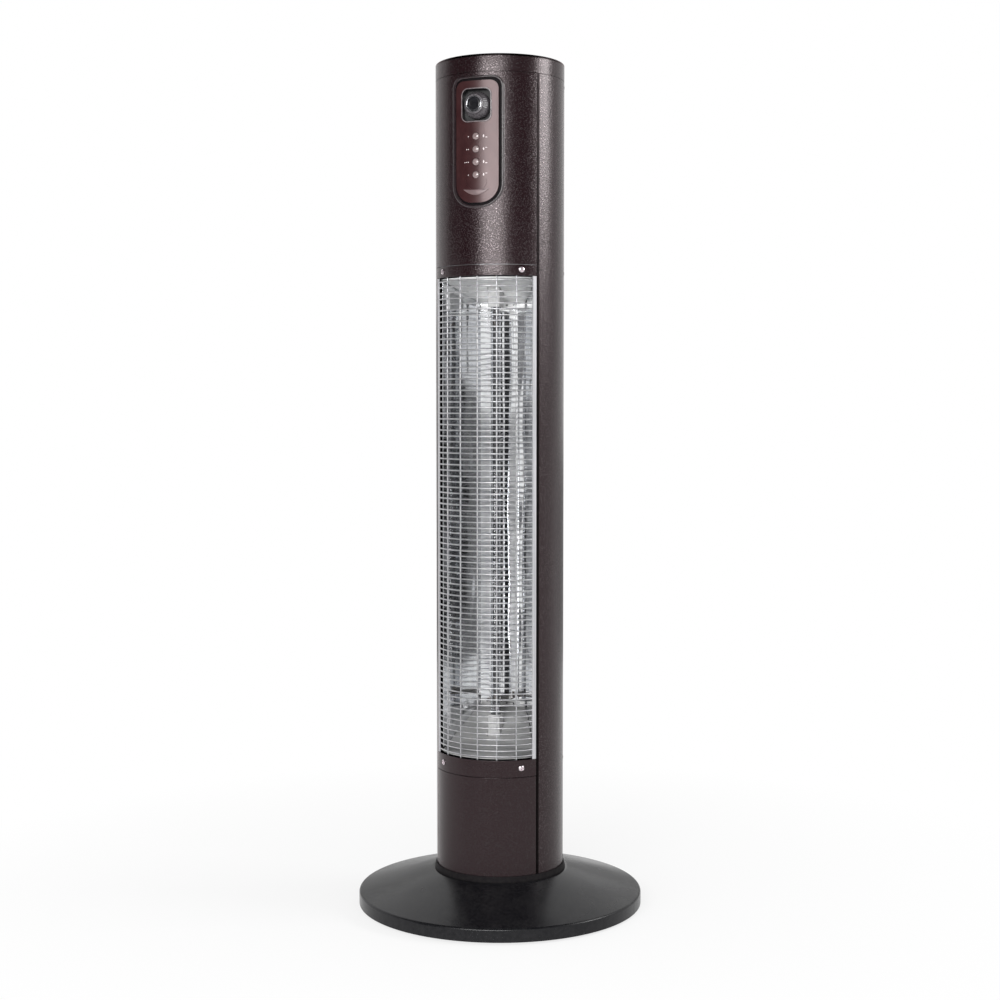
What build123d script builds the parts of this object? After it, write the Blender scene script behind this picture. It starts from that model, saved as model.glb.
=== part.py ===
from build123d import *
import os
from math import atan2, cos, degrees, radians, sin

# Infrared patio heater tower. Millimetres, +Z up, the controls and the heater window face -Y,
# and the origin is on the floor at the middle of the base.

# ---- heights, stacked from the floor up ----
foot_height = 5.0
rim_height = 13.0
cone_rise = 26.0
lower_panel_height = 123.5
lower_band_height = 20.0
window_height = 561.5
upper_band_height = 13.0
head_height = 218.0
cap_height = 20.0

# ---- round sizes ----
column_radius = 76.0
shell_wall = 1.5
base_radius = 170.0
seat_radius = 81.0
cover_wall = 2.0
cover_skirt = 2.0
rim_edge_radius = 3.0
cone_edge_radius = 6.0
cone_inner_radius = 4.0

# ---- how the column is divided round its axis, in degrees from the front ----
front_half_angle = 55.0
guard_half_angle = 54.6
guard_strip_angle = 3.6
screw_angle = 40.0

# ---- clearances ----
seam_gap = 0.5
fit_gap = 0.2
running_gap = 0.08
button_gap = 0.3
thread_gap = 0.05
sheet_gap = 0.1
lead_gap = 3.0

# ---- how far the cutting shapes reach past the walls they pierce ----
cutter_start = 5.0
cutter_depth = 12.0

# ---- guard over the heater ----
wire_diameter = 1.7
wire_pitch = 6.65
upright_diameter = 1.8
upright_angles = (-36.0, -18.0, 0.0, 18.0, 36.0)
guard_setback = 0.3
screw_below_window = 9.5
screw_above_window = 6.8

# ---- reflector and lamp ----
reflector_sheet = 0.8
reflector_back_y = 15.0
reflector_back_width = 60.0
reflector_mouth_width = 117.0
reflector_mouth_y = -39.0
reflector_bulge = 4.0
reflector_end_margin = 1.5
top_end_drop = 24.0
bottom_end_rise = 48.0
end_lip = 8.0
lip_overlap = 1.5
lip_hole_diameter = 3.2
lip_hole_places = (-14.0, -5.0, 5.0, 14.0)
wedge_front = 30.0
wedge_behind = 5.0
lamp_y = -14.0
lamp_diameter = 12.0
lamp_wall = 1.0
lamp_end_gap = 9.0
element_width = 7.0
element_thickness = 0.8
end_cap_width = 15.0
end_cap_height = 26.0
end_cap_reach = 6.0
end_cap_passage = 1.0
block_corner = 2.0
holder_sheet = 1.5
holder_width = 28.0
holder_tail = 8.0
holder_gap = 2.0

# ---- bulkheads and bracing ----
bulkhead_wall = 1.4
bulkhead_flange = 16.0
bulkhead_setback = 1.0
shield_radius = 67.0
shield_sheet = 0.8
shield_half_angle = 80.0
bracket_width = 36.0
bracket_sheet = 1.5
bracket_reach = 34.0
bracket_foot = 14.0

# ---- controls, measured from the top seam of the head ----
opening_top_margin = 5.0
opening_width = 62.0
opening_height = 148.0
opening_top_corner = 12.0
opening_bottom_corner = 26.0
bezel_width = 2.4
bezel_proud = 0.8
carrier_wall = 2.0
carrier_overlap = 3.0
fascia_margin = 5.0
fascia_wall = 2.4
well_drop = 32.5
well_width = 37.5
well_height = 39.0
well_corner = 8.5
well_wall = 1.5
well_depth = 10.0
well_proud = 0.6
knob_diameter = 31.0
knob_length = 15.5
knob_edge_radius = 3.0
knob_floor_gap = 0.8
knob_cap_seat = 2.0
knob_cap_diameter = 16.0
knob_ring_width = 1.2
knob_cap_proud = 0.9
pointer_width = 1.6
pointer_depth = 1.2
pointer_margin = 1.0
shaft_short = 5.0
shaft_end_gap = 0.3
shaft_diameter = 6.0
shaft_flat = 1.5
bush_diameter = 9.0
bush_nut_across = 13.0
bush_nut_thickness = 2.5
bush_nose = 0.5
nut_pocket_gap = 2.5
nut_pocket_depth_gap = 0.6
switch_side = 28.0
switch_depth = 15.0
tag_depth = 4.0
tag_pitch = 9.0
tag_offset = 8.0
tag_width = 3.0
tag_sheet = 0.8
button_count = 4
button_pitch = 14.5
first_button_drop = 73.0
button_diameter = 8.0
button_proud = 1.4
button_travel = 1.2
button_flange_diameter = 10.6
button_flange_thickness = 1.2
button_edge_radius = 1.1
flange_gap = 0.5
stem_diameter = 3.0
stem_gap = 0.3
tact_side = 6.0
tact_height = 4.0
tact_plunger_diameter = 3.4
tact_plunger_height = 0.8
board_width = 44.0
board_below_opening = 56.0
board_thickness = 1.6
board_depth = 17.0
board_gap = 4.0
board_post_diameter = 6.0
board_post_x = 17.0
board_post_short = 1.2
post_top_inset = 6.0
post_bottom_inset = 8.0
board_screw_head = 5.0
board_screw_head_height = 1.8
board_screw_diameter = 2.5
board_screw_bite = 6.0
relay_depth = 16.0
relay_width = 20.0
relay_height = 28.0
relay_x = -7.0
relay_rise = 12.0
capacitor_diameter = 12.0
capacitor_x = 9.0
capacitor_drop = 20.0
capacitor_extra = 2.0
crescent_drop = 136.0
crescent_width = 26.0
crescent_thickness = 2.6
crescent_proud = 0.5

# ---- base and column foot ----
collar_height = 7.0
collar_spread = 2.6
collar_step = 1.5
collar_lip = 0.9
socket_wall = 2.0
socket_height = 30.0
socket_floor = 3.0
ballast_rim_gap = 12.0
ballast_thickness = 8.0
ballast_boss_radius = 62.0
ballast_shoulder = 8.0
ballast_gap = 2.5
bolt_diameter = 8.0
bolt_circle = 44.0
bolt_count = 4
bolt_head_across = 13.0
bolt_head_height = 5.0
bolt_nut_height = 6.0
bolt_end = 8.0
counterbore_gap = 2.0
counterbore_extra = 1.0
foot_diameter = 26.0
foot_inset = 32.0
foot_count = 6
foot_chamfer = 1.2
cover_screw_count = 3
cover_screw_share = 0.21
cover_screw_diameter = 4.0
cover_screw_head_height = 2.5
cover_screw_bite = 11.0
cover_screw_spare = 2.0
cover_boss_diameter = 9.0
boss_floor_margin = 1.0

# ---- tip-over switch ----
tip_switch_share = 0.35
tip_switch_width = 20.0
tip_switch_length = 27.0
tip_switch_height = 14.0
tip_tab = 8.0
tip_tab_thickness = 2.0
tip_pocket_gap = 1.0
plunger_diameter = 8.0
plunger_tip_radius = 1.5
plunger_flange_diameter = 12.0
plunger_flange = 2.0
plunger_travel = 5.0

# ---- cap, screws, vents, leads, cable inlet ----
spigot_length = 12.0
spigot_wall = 1.4
spigot_notch_gap = 3.0
cap_edge_radius = 1.5
guard_screw_head = 6.5
screw_head_height = 1.6
screw_shank = 3.4
screw_length = 7.0
shell_screw_head = 6.0
rear_screw_angles = (105.0, 180.0, 255.0)
head_vent_count = 9
foot_vent_count = 4
vent_pitch = 9.0
vent_width = 46.0
vent_height = 3.4
head_vent_drop = 60.0
foot_vent_drop = 39.0
inlet_rise = 24.0
foot_screw_rise = 14.0
cap_screw_drop = 7.0
inlet_diameter = 16.0
inlet_nut_across = 20.0
inlet_nut_thickness = 5.0
inlet_nose = 9.0
inlet_nose_taper = 20.0
gland_nut_thickness = 3.5
gland_nut_setback = 1.2
gland_tail = 1.0
lead_diameter = 3.2
lead_bend = 9.0
lead_end_rise = 2.0
lamp_lead_rise = 5.0
tag_run = 14.0
riser_x = 16.0
riser_setback = 4.0
terminal_width = 36.0
terminal_depth = 18.0
terminal_height = 16.0
terminal_setback = 6.0
terminal_hole_diameter = 3.6
terminal_hole_depth = 3.0
terminal_hole_pitch = 8.0
cutout_diameter = 16.0
cutout_thickness = 8.0
cutout_rise = 380.0
cutout_ear = 14.0
cutout_ear_width = 8.0
cutout_ear_sheet = 1.0
cutout_tag_x = 4.0
cutout_tag_height = 6.0
cutout_tag_length = 7.0

# ---- places worked out from the sizes above ----
cover_bottom = foot_height - cover_skirt
rim_top = foot_height + rim_height
seat_top = rim_top + cone_rise
lower_seam = seat_top + lower_panel_height
window_bottom = lower_seam + lower_band_height
window_top = window_bottom + window_height
head_seam = window_top + upper_band_height
cap_seam = head_seam + head_height
top = cap_seam + cap_height
shell_inner = column_radius - shell_wall
flange_outer = shell_inner - fit_gap
half_gap_angle = degrees(seam_gap / 2 / column_radius)
rear_half_angle = 180.0 - front_half_angle - half_gap_angle
front_panel_angle = front_half_angle - half_gap_angle
ballast_top = foot_height + ballast_thickness
ballast_radius = base_radius - ballast_rim_gap
foot_circle = base_radius - foot_inset
cone_run = base_radius - seat_radius
cover_screw_circle = seat_radius + cover_screw_share * cone_run
tip_switch_y = seat_radius + tip_switch_share * cone_run
seat_under = seat_top - cover_wall
lower_plate_top = lower_seam + fit_gap + bulkhead_wall
upper_plate_under = window_top + bulkhead_flange
guard_screw_low = window_bottom - screw_below_window
guard_screw_high = window_top + screw_above_window
foot_screw_z = seat_top + foot_screw_rise
cap_screw_z = cap_seam - cap_screw_drop
inlet_z = seat_top + inlet_rise
opening_top = cap_seam - opening_top_margin
well_z = opening_top - well_drop
cut_radius = column_radius + cutter_start
foot_screw_angles = (rear_screw_angles[0], rear_screw_angles[-1])
band_screw_angles = (-screw_angle, screw_angle)
cover_screw_start = -90.0
bolt_start = 45.0

FRONT = Plane.XZ


def angle_place(angle, radius, height):
    """Location at a height on the column, angle degrees round from the front, z pointing out."""
    turn = radians(angle)
    out = Vector(sin(turn), -cos(turn), 0)
    spot = Vector(radius * out.X, radius * out.Y, height)
    return Plane(origin=spot, x_dir=(cos(turn), sin(turn), 0), z_dir=out)


def sector(outer, inner, middle, half_angle):
    """Face of a ring sector; middle is its centre line in degrees round from the front."""
    start = middle - 90.0 - half_angle
    with BuildLine() as outline:
        far = CenterArc((0, 0), outer, start, 2 * half_angle)
        near = CenterArc((0, 0), inner, start, 2 * half_angle)
        Line(far @ 0, near @ 0)
        Line(far @ 1, near @ 1)
    make_face(outline.edges())


def rounded_outline(width, height, top_z, top_corner, bottom_corner, mode=Mode.ADD):
    """Face on the front plane: a tall panel outline with its own top and bottom corner radii."""
    half = width / 2
    low = top_z - height
    corners = [(-half, low), (half, low), (half, top_z), (-half, top_z)]
    radii = [bottom_corner, bottom_corner, top_corner, top_corner]
    with BuildLine() as outline:
        FilletPolyline(*corners, radius=radii, close=True)
    make_face(outline.edges(), mode=mode)


def save(part, name):
    part.label = name
    export_step(part, "parts/" + name + ".step")


os.makedirs("parts", exist_ok=True)

# ================= base =================

# cast ballast: fills the cone, carries the column, and is drilled for the bolts and the plunger
with BuildPart() as base_ballast:
    with BuildSketch(FRONT):
        with BuildLine():
            Polyline(
                (0, foot_height),
                (ballast_radius, foot_height),
                (ballast_radius, ballast_top),
                (ballast_boss_radius + ballast_shoulder, seat_under - ballast_gap),
                (ballast_boss_radius, seat_under - ballast_gap),
                (ballast_boss_radius, seat_under),
                (0, seat_under),
                close=True,
            )
        make_face()
    revolve(axis=Axis.Z)
    with BuildSketch(Plane.XY.offset(foot_height)):
        with PolarLocations(bolt_circle, bolt_count, start_angle=bolt_start):
            Circle(bolt_diameter / 2 + fit_gap)
        with PolarLocations(cover_screw_circle, cover_screw_count, start_angle=cover_screw_start):
            Circle(cover_boss_diameter / 2 + fit_gap)
        with Locations((0, tip_switch_y)):
            Circle(plunger_diameter / 2 + running_gap)
    extrude(amount=seat_under, mode=Mode.SUBTRACT)
    with BuildSketch(Plane.XY.offset(foot_height)):
        with PolarLocations(bolt_circle, bolt_count, start_angle=bolt_start):
            Circle(bolt_head_across / 2 + counterbore_gap)
    extrude(amount=bolt_head_height + counterbore_extra, mode=Mode.SUBTRACT)
    with BuildSketch(Plane.XY.offset(ballast_top)):
        with Locations((0, tip_switch_y)):
            Rectangle(tip_switch_width + 2 * tip_pocket_gap,
                      tip_switch_length + 2 * tip_tab + 2 * tip_pocket_gap)
    extrude(amount=seat_under, mode=Mode.SUBTRACT)
    # a floor under each screw boss of the cover
    with BuildSketch(Plane.XY.offset(foot_height)):
        with PolarLocations(cover_screw_circle, cover_screw_count, start_angle=cover_screw_start):
            Circle(cover_boss_diameter / 2 + boss_floor_margin)
            Circle(cover_screw_diameter / 2 + fit_gap, mode=Mode.SUBTRACT)
    extrude(amount=ballast_thickness)
save(base_ballast.part, "base_ballast")

# pressed cover: rim wall, shallow cone and the flat seat under the column
with BuildPart() as base_cover:
    with BuildSketch(FRONT):
        inner = base_radius - cover_wall
        bore = bolt_circle - bolt_diameter
        outline = [
            (base_radius, cover_bottom),
            (base_radius, rim_top),
            (seat_radius, seat_top),
            (bore, seat_top),
            (bore, seat_under),
            (seat_radius, seat_under),
            (inner, rim_top - cover_wall),
            (inner, cover_bottom),
        ]
        small = rim_edge_radius - cover_wall
        with BuildLine():
            radii = [0, rim_edge_radius, cone_edge_radius, 0, 0, cone_inner_radius, small, 0]
            FilletPolyline(*outline, radius=radii, close=True)
        make_face()
    revolve(axis=Axis.Z)
    with BuildSketch(Plane.XY.offset(seat_under - cover_wall)):
        with PolarLocations(bolt_circle, bolt_count, start_angle=bolt_start):
            Circle(bolt_diameter / 2 + fit_gap)
    extrude(amount=3 * cover_wall, mode=Mode.SUBTRACT)
    # three screw bosses reach down from the cone to the ballast
    with BuildSketch(Plane.XY.offset(ballast_top)):
        with PolarLocations(cover_screw_circle, cover_screw_count, start_angle=cover_screw_start):
            Circle(cover_boss_diameter / 2)
    extrude(until=Until.NEXT)
    with BuildSketch(Plane.XY.offset(ballast_top - cover_wall)):
        with PolarLocations(cover_screw_circle, cover_screw_count, start_angle=cover_screw_start):
            Circle(cover_screw_diameter / 2 + thread_gap)
    extrude(amount=cover_wall + cover_screw_bite + cover_screw_spare, mode=Mode.SUBTRACT)
save(base_cover.part, "base_cover")

# three screws hold the cover to the ballast from below
with BuildPart() as cover_screws:
    with BuildSketch(Plane.XY.offset(foot_height - cover_screw_head_height)):
        with PolarLocations(cover_screw_circle, cover_screw_count, start_angle=cover_screw_start):
            Circle(cover_screw_diameter)
    extrude(amount=cover_screw_head_height)
    with BuildSketch(Plane.XY.offset(foot_height)):
        with PolarLocations(cover_screw_circle, cover_screw_count, start_angle=cover_screw_start):
            Circle(cover_screw_diameter / 2)
    extrude(amount=ballast_thickness + cover_screw_bite)
save(cover_screws.part, "cover_screws")

# rubber feet on the underside of the ballast
with BuildPart() as rubber_feet:
    with BuildSketch(Plane.XY):
        with PolarLocations(foot_circle, foot_count):
            Circle(foot_diameter / 2)
    extrude(amount=foot_height)
    chamfer(rubber_feet.edges().filter_by(GeomType.CIRCLE).group_by(Axis.Z)[0], foot_chamfer)
save(rubber_feet.part, "rubber_feet")

# bolts that clamp the column socket to the ballast
bolt_seat = foot_height + bolt_head_height + counterbore_extra
bolt_tip = seat_top + socket_floor + bolt_end
with BuildPart() as column_bolts:
    with BuildSketch(Plane.XY.offset(bolt_seat - bolt_head_height)):
        with PolarLocations(bolt_circle, bolt_count, start_angle=bolt_start):
            RegularPolygon(bolt_head_across / 2, 6, major_radius=False)
    extrude(amount=bolt_head_height)
    with BuildSketch(Plane.XY.offset(bolt_seat)):
        with PolarLocations(bolt_circle, bolt_count, start_angle=bolt_start):
            Circle(bolt_diameter / 2)
    extrude(amount=bolt_tip - bolt_seat)
save(column_bolts.part, "column_bolts")

with BuildPart() as column_nuts:
    with BuildSketch(Plane.XY.offset(seat_top + socket_floor)):
        with PolarLocations(bolt_circle, bolt_count, start_angle=bolt_start):
            RegularPolygon(bolt_head_across / 2, 6, major_radius=False)
            Circle(bolt_diameter / 2 + thread_gap, mode=Mode.SUBTRACT)
    extrude(amount=bolt_nut_height)
save(column_nuts.part, "column_nuts")

# cup that locates the column shells on the base
with BuildPart() as column_socket:
    with BuildSketch(Plane.XY.offset(seat_top)):
        Circle(flange_outer)
        with PolarLocations(bolt_circle, bolt_count, start_angle=bolt_start):
            Circle(bolt_diameter / 2 + fit_gap, mode=Mode.SUBTRACT)
    extrude(amount=socket_floor)
    with BuildSketch(Plane.XY.offset(seat_top + socket_floor)):
        Circle(flange_outer)
        Circle(flange_outer - socket_wall, mode=Mode.SUBTRACT)
    extrude(amount=socket_height - socket_floor)
    with BuildSketch(angle_place(180, cut_radius, inlet_z)):
        Circle(inlet_diameter / 2 + fit_gap)
        with Locations((0, inlet_diameter)):
            Rectangle(inlet_diameter + 2 * fit_gap, 2 * inlet_diameter)
    extrude(amount=-cutter_depth, mode=Mode.SUBTRACT)
    for angle in foot_screw_angles:
        with BuildSketch(angle_place(angle, cut_radius, foot_screw_z)):
            Circle(screw_shank / 2 + thread_gap)
        extrude(amount=-cutter_depth, mode=Mode.SUBTRACT)
save(column_socket.part, "column_socket")

# flared trim ring where the column meets the base
with BuildPart() as foot_collar:
    with BuildSketch(FRONT):
        low = column_radius + fit_gap
        with BuildLine():
            Polyline(
                (low, seat_top),
                (column_radius + collar_spread, seat_top),
                (column_radius + collar_spread, seat_top + collar_step),
                (low + collar_lip, seat_top + collar_height),
                (low, seat_top + collar_height),
                close=True,
            )
        make_face()
    revolve(axis=Axis.Z)
save(foot_collar.part, "foot_collar")

# ================= tip-over switch =================

plunger_top = ballast_top + plunger_travel + plunger_flange
with BuildPart() as tip_switch:
    with BuildSketch(Plane.XY.offset(ballast_top)):
        with Locations((0, tip_switch_y)):
            Rectangle(tip_switch_width, tip_switch_length)
    extrude(amount=tip_switch_height)
    with BuildSketch(Plane.XY.offset(ballast_top)):
        with Locations((0, tip_switch_y)):
            Circle(plunger_flange_diameter / 2 + button_gap)
    extrude(amount=plunger_travel + plunger_flange + fit_gap, mode=Mode.SUBTRACT)
    with BuildSketch(Plane.XY.offset(ballast_top)):
        for side in (-1, 1):
            with Locations((0, tip_switch_y + side * (tip_switch_length + tip_tab) / 2)):
                Rectangle(tip_switch_width, tip_tab)
    extrude(amount=tip_tab_thickness)
save(tip_switch.part, "tip_switch")

with BuildPart() as tip_plunger:
    with BuildSketch(Plane.XY):
        with Locations((0, tip_switch_y)):
            Circle(plunger_diameter / 2)
    extrude(amount=plunger_top)
    fillet(tip_plunger.edges().group_by(Axis.Z)[0], plunger_tip_radius)
    with BuildSketch(Plane.XY.offset(plunger_top - plunger_flange)):
        with Locations((0, tip_switch_y)):
            Circle(plunger_flange_diameter / 2)
    extrude(amount=plunger_flange)
save(tip_plunger.part, "tip_plunger")

# ================= column shells =================

rear_screw_places = [(angle, height) for height in (guard_screw_low, guard_screw_high, cap_screw_z)
                     for angle in rear_screw_angles]
rear_screw_places += [(angle, foot_screw_z) for angle in foot_screw_angles]

# rear shell: the back of the column from the seat to the cap, with two banks of vents
with BuildPart() as rear_shell:
    with BuildSketch(Plane.XY.offset(seat_top)):
        sector(column_radius, shell_inner, 180, rear_half_angle)
    extrude(amount=cap_seam - seam_gap - seat_top)
    banks = [(cap_seam - head_vent_drop, head_vent_count), (lower_seam - foot_vent_drop, foot_vent_count)]
    for highest, count in banks:
        for step in range(count):
            with BuildSketch(angle_place(180, cut_radius, highest - step * vent_pitch)):
                SlotOverall(vent_width, vent_height)
            extrude(amount=-cutter_depth, mode=Mode.SUBTRACT)
    with BuildSketch(angle_place(180, cut_radius, inlet_z)):
        Circle(inlet_diameter / 2 + fit_gap)
    extrude(amount=-cutter_depth, mode=Mode.SUBTRACT)
    for angle, height in rear_screw_places:
        with BuildSketch(angle_place(angle, cut_radius, height)):
            Circle(screw_shank / 2 + fit_gap)
        extrude(amount=-cutter_depth, mode=Mode.SUBTRACT)
save(rear_shell.part, "rear_shell")

# lower front panel
with BuildPart() as lower_front_panel:
    with BuildSketch(Plane.XY.offset(seat_top)):
        sector(column_radius, shell_inner, 0, front_panel_angle)
    extrude(amount=lower_panel_height - seam_gap)
save(lower_front_panel.part, "lower_front_panel")


def window_band(bottom, height, screw_height):
    """Curved band beyond one end of the window, with two screw holes."""
    with BuildPart() as band:
        with BuildSketch(Plane.XY.offset(bottom)):
            sector(column_radius, shell_inner, 0, front_panel_angle)
        extrude(amount=height)
        for angle in band_screw_angles:
            with BuildSketch(angle_place(angle, cut_radius, screw_height)):
                Circle(screw_shank / 2 + fit_gap)
            extrude(amount=-cutter_depth, mode=Mode.SUBTRACT)
    return band.part


save(window_band(lower_seam, lower_band_height, guard_screw_low), "guard_lower_band")
save(window_band(window_top, upper_band_height - seam_gap, guard_screw_high), "guard_upper_band")

# head panel with the opening for the controls
with BuildPart() as head_front_panel:
    with BuildSketch(Plane.XY.offset(head_seam)):
        sector(column_radius, shell_inner, 0, front_panel_angle)
    extrude(amount=head_height - seam_gap)
    with BuildSketch(FRONT):
        rounded_outline(opening_width, opening_height, opening_top,
                        opening_top_corner, opening_bottom_corner)
    extrude(amount=cut_radius, mode=Mode.SUBTRACT)
save(head_front_panel.part, "head_front_panel")

# cap with a spigot inside the shells
with BuildPart() as top_cap:
    with BuildSketch(Plane.XY.offset(cap_seam)):
        Circle(column_radius)
    extrude(amount=cap_height)
    fillet(top_cap.edges().group_by(Axis.Z)[-1], cap_edge_radius)
    with BuildSketch(Plane.XY.offset(cap_seam)):
        Circle(flange_outer - spigot_wall)
    extrude(amount=cap_height - cover_wall, mode=Mode.SUBTRACT)
    with BuildSketch(Plane.XY.offset(cap_seam - spigot_length)):
        Circle(flange_outer)
        Circle(flange_outer - spigot_wall, mode=Mode.SUBTRACT)
    extrude(amount=spigot_length)
    # the spigot is notched clear of the control carrier
    notch = opening_width / 2 + carrier_overlap + spigot_notch_gap
    with BuildSketch(FRONT):
        with Locations((0, cap_seam - spigot_length / 2)):
            Rectangle(2 * notch, spigot_length)
    extrude(amount=column_radius, mode=Mode.SUBTRACT)
    for angle in rear_screw_angles:
        with BuildSketch(angle_place(angle, cut_radius, cap_screw_z)):
            Circle(screw_shank / 2 + thread_gap)
        extrude(amount=-cutter_depth, mode=Mode.SUBTRACT)
save(top_cap.part, "top_cap")

# ================= guard =================

wire_radius = column_radius - guard_setback - wire_diameter / 2
upright_radius = wire_radius - wire_diameter / 2 - upright_diameter / 2
strip_inner_angle = guard_half_angle - guard_strip_angle
guard_low = window_bottom + fit_gap
guard_high = window_top - fit_gap
wire_count = int((guard_high - guard_low) / wire_pitch)
first_wire = (guard_low + guard_high - (wire_count - 1) * wire_pitch) / 2

# cross wires: bowed level wires from one side strip to the other
with BuildPart() as guard_cross_wires:
    for row in range(wire_count):
        with BuildSketch(Plane.XZ):
            with Locations((wire_radius, first_wire + row * wire_pitch)):
                Circle(wire_diameter / 2)
    revolve(axis=Axis.Z, revolution_arc=2 * strip_inner_angle)
    turned = guard_cross_wires.part.rotate(Axis.Z, -90 - strip_inner_angle)
save(turned, "guard_cross_wires")

# uprights that the cross wires are welded to, on the inside
with BuildPart() as guard_uprights:
    with BuildSketch(Plane.XY.offset(guard_low)):
        for angle in upright_angles:
            turn = radians(angle)
            with Locations((upright_radius * sin(turn), -upright_radius * cos(turn))):
                Circle(upright_diameter / 2)
    extrude(amount=guard_high - guard_low)
save(guard_uprights.part, "guard_uprights")

# bright side strips that end the wires
with BuildPart() as guard_side_strips:
    with BuildSketch(Plane.XY.offset(guard_low)):
        for side in (-1, 1):
            middle = side * (guard_half_angle - guard_strip_angle / 2)
            sector(column_radius, shell_inner, middle, guard_strip_angle / 2)
    extrude(amount=guard_high - guard_low)
save(guard_side_strips.part, "guard_side_strips")


def ring_screws(places, head_diameter, head_height, start_radius, length):
    """Pan-head screws pointing at the column's axis; places holds (angle, height) pairs."""
    with BuildPart() as screws:
        for angle, height in places:
            with BuildSketch(angle_place(angle, start_radius, height)):
                Circle(head_diameter / 2)
            extrude(amount=head_height)
            with BuildSketch(angle_place(angle, start_radius, height)):
                Circle(screw_shank / 2)
            extrude(amount=-length)
    return screws.part


head_clear = column_radius + thread_gap
band_screw_places = [(angle, height) for height in (guard_screw_low, guard_screw_high)
                     for angle in band_screw_angles]
save(ring_screws(band_screw_places, guard_screw_head, screw_head_height, head_clear, screw_length),
     "guard_screws")
save(ring_screws(rear_screw_places, shell_screw_head, screw_head_height, head_clear, screw_length),
     "rear_screws")

# ================= bulkheads =================


def bulkhead(low, high, plate_low, screw_height, pass_holes):
    """Round tray closing one end of the heater chamber: a flange ring and a plate."""
    with BuildPart() as tray:
        with BuildSketch(Plane.XY.offset(low)):
            Circle(flange_outer)
            Circle(flange_outer - bulkhead_wall, mode=Mode.SUBTRACT)
        extrude(amount=high - low)
        with BuildSketch(Plane.XY.offset(plate_low)):
            Circle(flange_outer)
            for spot, diameter in pass_holes:
                with Locations(spot):
                    Circle(diameter / 2, mode=Mode.SUBTRACT)
        extrude(amount=bulkhead_wall)
        for angle in band_screw_angles + rear_screw_angles:
            with BuildSketch(angle_place(angle, cut_radius, screw_height)):
                Circle(screw_shank / 2 + thread_gap)
            extrude(amount=-cutter_depth, mode=Mode.SUBTRACT)
    return tray.part


lead_room = lead_diameter + lead_gap
riser_y = (reflector_back_y + reflector_sheet + shield_radius - shield_sheet) / 2 + riser_setback
lead_spots = ((-riser_x, riser_y), (riser_x, riser_y), (0, lamp_y))
lead_pass = [(spot, lead_room) for spot in lead_spots]
save(bulkhead(lower_seam + fit_gap, window_bottom - bulkhead_setback, lower_seam + fit_gap,
              guard_screw_low, lead_pass), "lower_bulkhead")
save(bulkhead(window_top + bulkhead_setback, upper_plate_under + bulkhead_wall, upper_plate_under,
              guard_screw_high, lead_pass), "upper_bulkhead")

# ================= reflector =================


def trough_outline(inset, back_inset, mouth_extra):
    """Face of the trough's section: flat back, bowed sides flaring to the mouth."""
    back = reflector_back_width / 2 - inset
    mouth = reflector_mouth_width / 2 - inset
    back_y = reflector_back_y - back_inset
    mouth_y = reflector_mouth_y - mouth_extra
    lean = atan2(mouth - back, back_y - reflector_mouth_y)
    middle_x = (back + mouth) / 2 + reflector_bulge * cos(lean)
    middle_y = (back_y + reflector_mouth_y) / 2 + reflector_bulge * sin(lean)
    with BuildLine() as outline:
        Line((-back, back_y), (back, back_y))
        right = ThreePointArc((back, back_y), (middle_x, middle_y), (mouth, reflector_mouth_y))
        left = ThreePointArc((-back, back_y), (-middle_x, middle_y), (-mouth, reflector_mouth_y))
        Polyline(right @ 1, (mouth, mouth_y), (-mouth, mouth_y), left @ 1)
    make_face(outline.edges())


reflector_low = window_bottom + reflector_end_margin
reflector_high = window_top - reflector_end_margin
chamber_depth = reflector_back_y - reflector_mouth_y


def wedge_outline(mouth_z, back_z, away):
    """Face on the side plane beyond a sloping end plate; away is the height to cut off at."""
    slope = (back_z - mouth_z) / chamber_depth
    near_y = reflector_mouth_y - wedge_front
    far_y = reflector_back_y + wedge_behind
    with BuildLine() as outline:
        Polyline(
            (near_y, mouth_z - slope * wedge_front),
            (far_y, back_z + slope * wedge_behind),
            (far_y, away),
            (near_y, away),
            close=True,
        )
    make_face(outline.edges())


bottom_back = reflector_low + bottom_end_rise
top_back = reflector_high - top_end_drop
SIDE = Plane.YZ.offset(-column_radius)

# trough: polished sheet, cut to the slope of the end plates
with BuildPart() as reflector:
    with BuildSketch(Plane.XY.offset(reflector_low)):
        trough_outline(0, 0, 0)
    extrude(amount=reflector_high - reflector_low)
    with BuildSketch(Plane.XY.offset(reflector_low)):
        trough_outline(reflector_sheet, reflector_sheet, wedge_front)
    extrude(amount=reflector_high - reflector_low, mode=Mode.SUBTRACT)
    with BuildSketch(SIDE):
        wedge_outline(reflector_low, bottom_back, 0)
    extrude(amount=2 * column_radius, mode=Mode.SUBTRACT)
    with BuildSketch(SIDE):
        wedge_outline(reflector_high, top_back, top)
    extrude(amount=2 * column_radius, mode=Mode.SUBTRACT)
save(reflector.part, "reflector")


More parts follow.
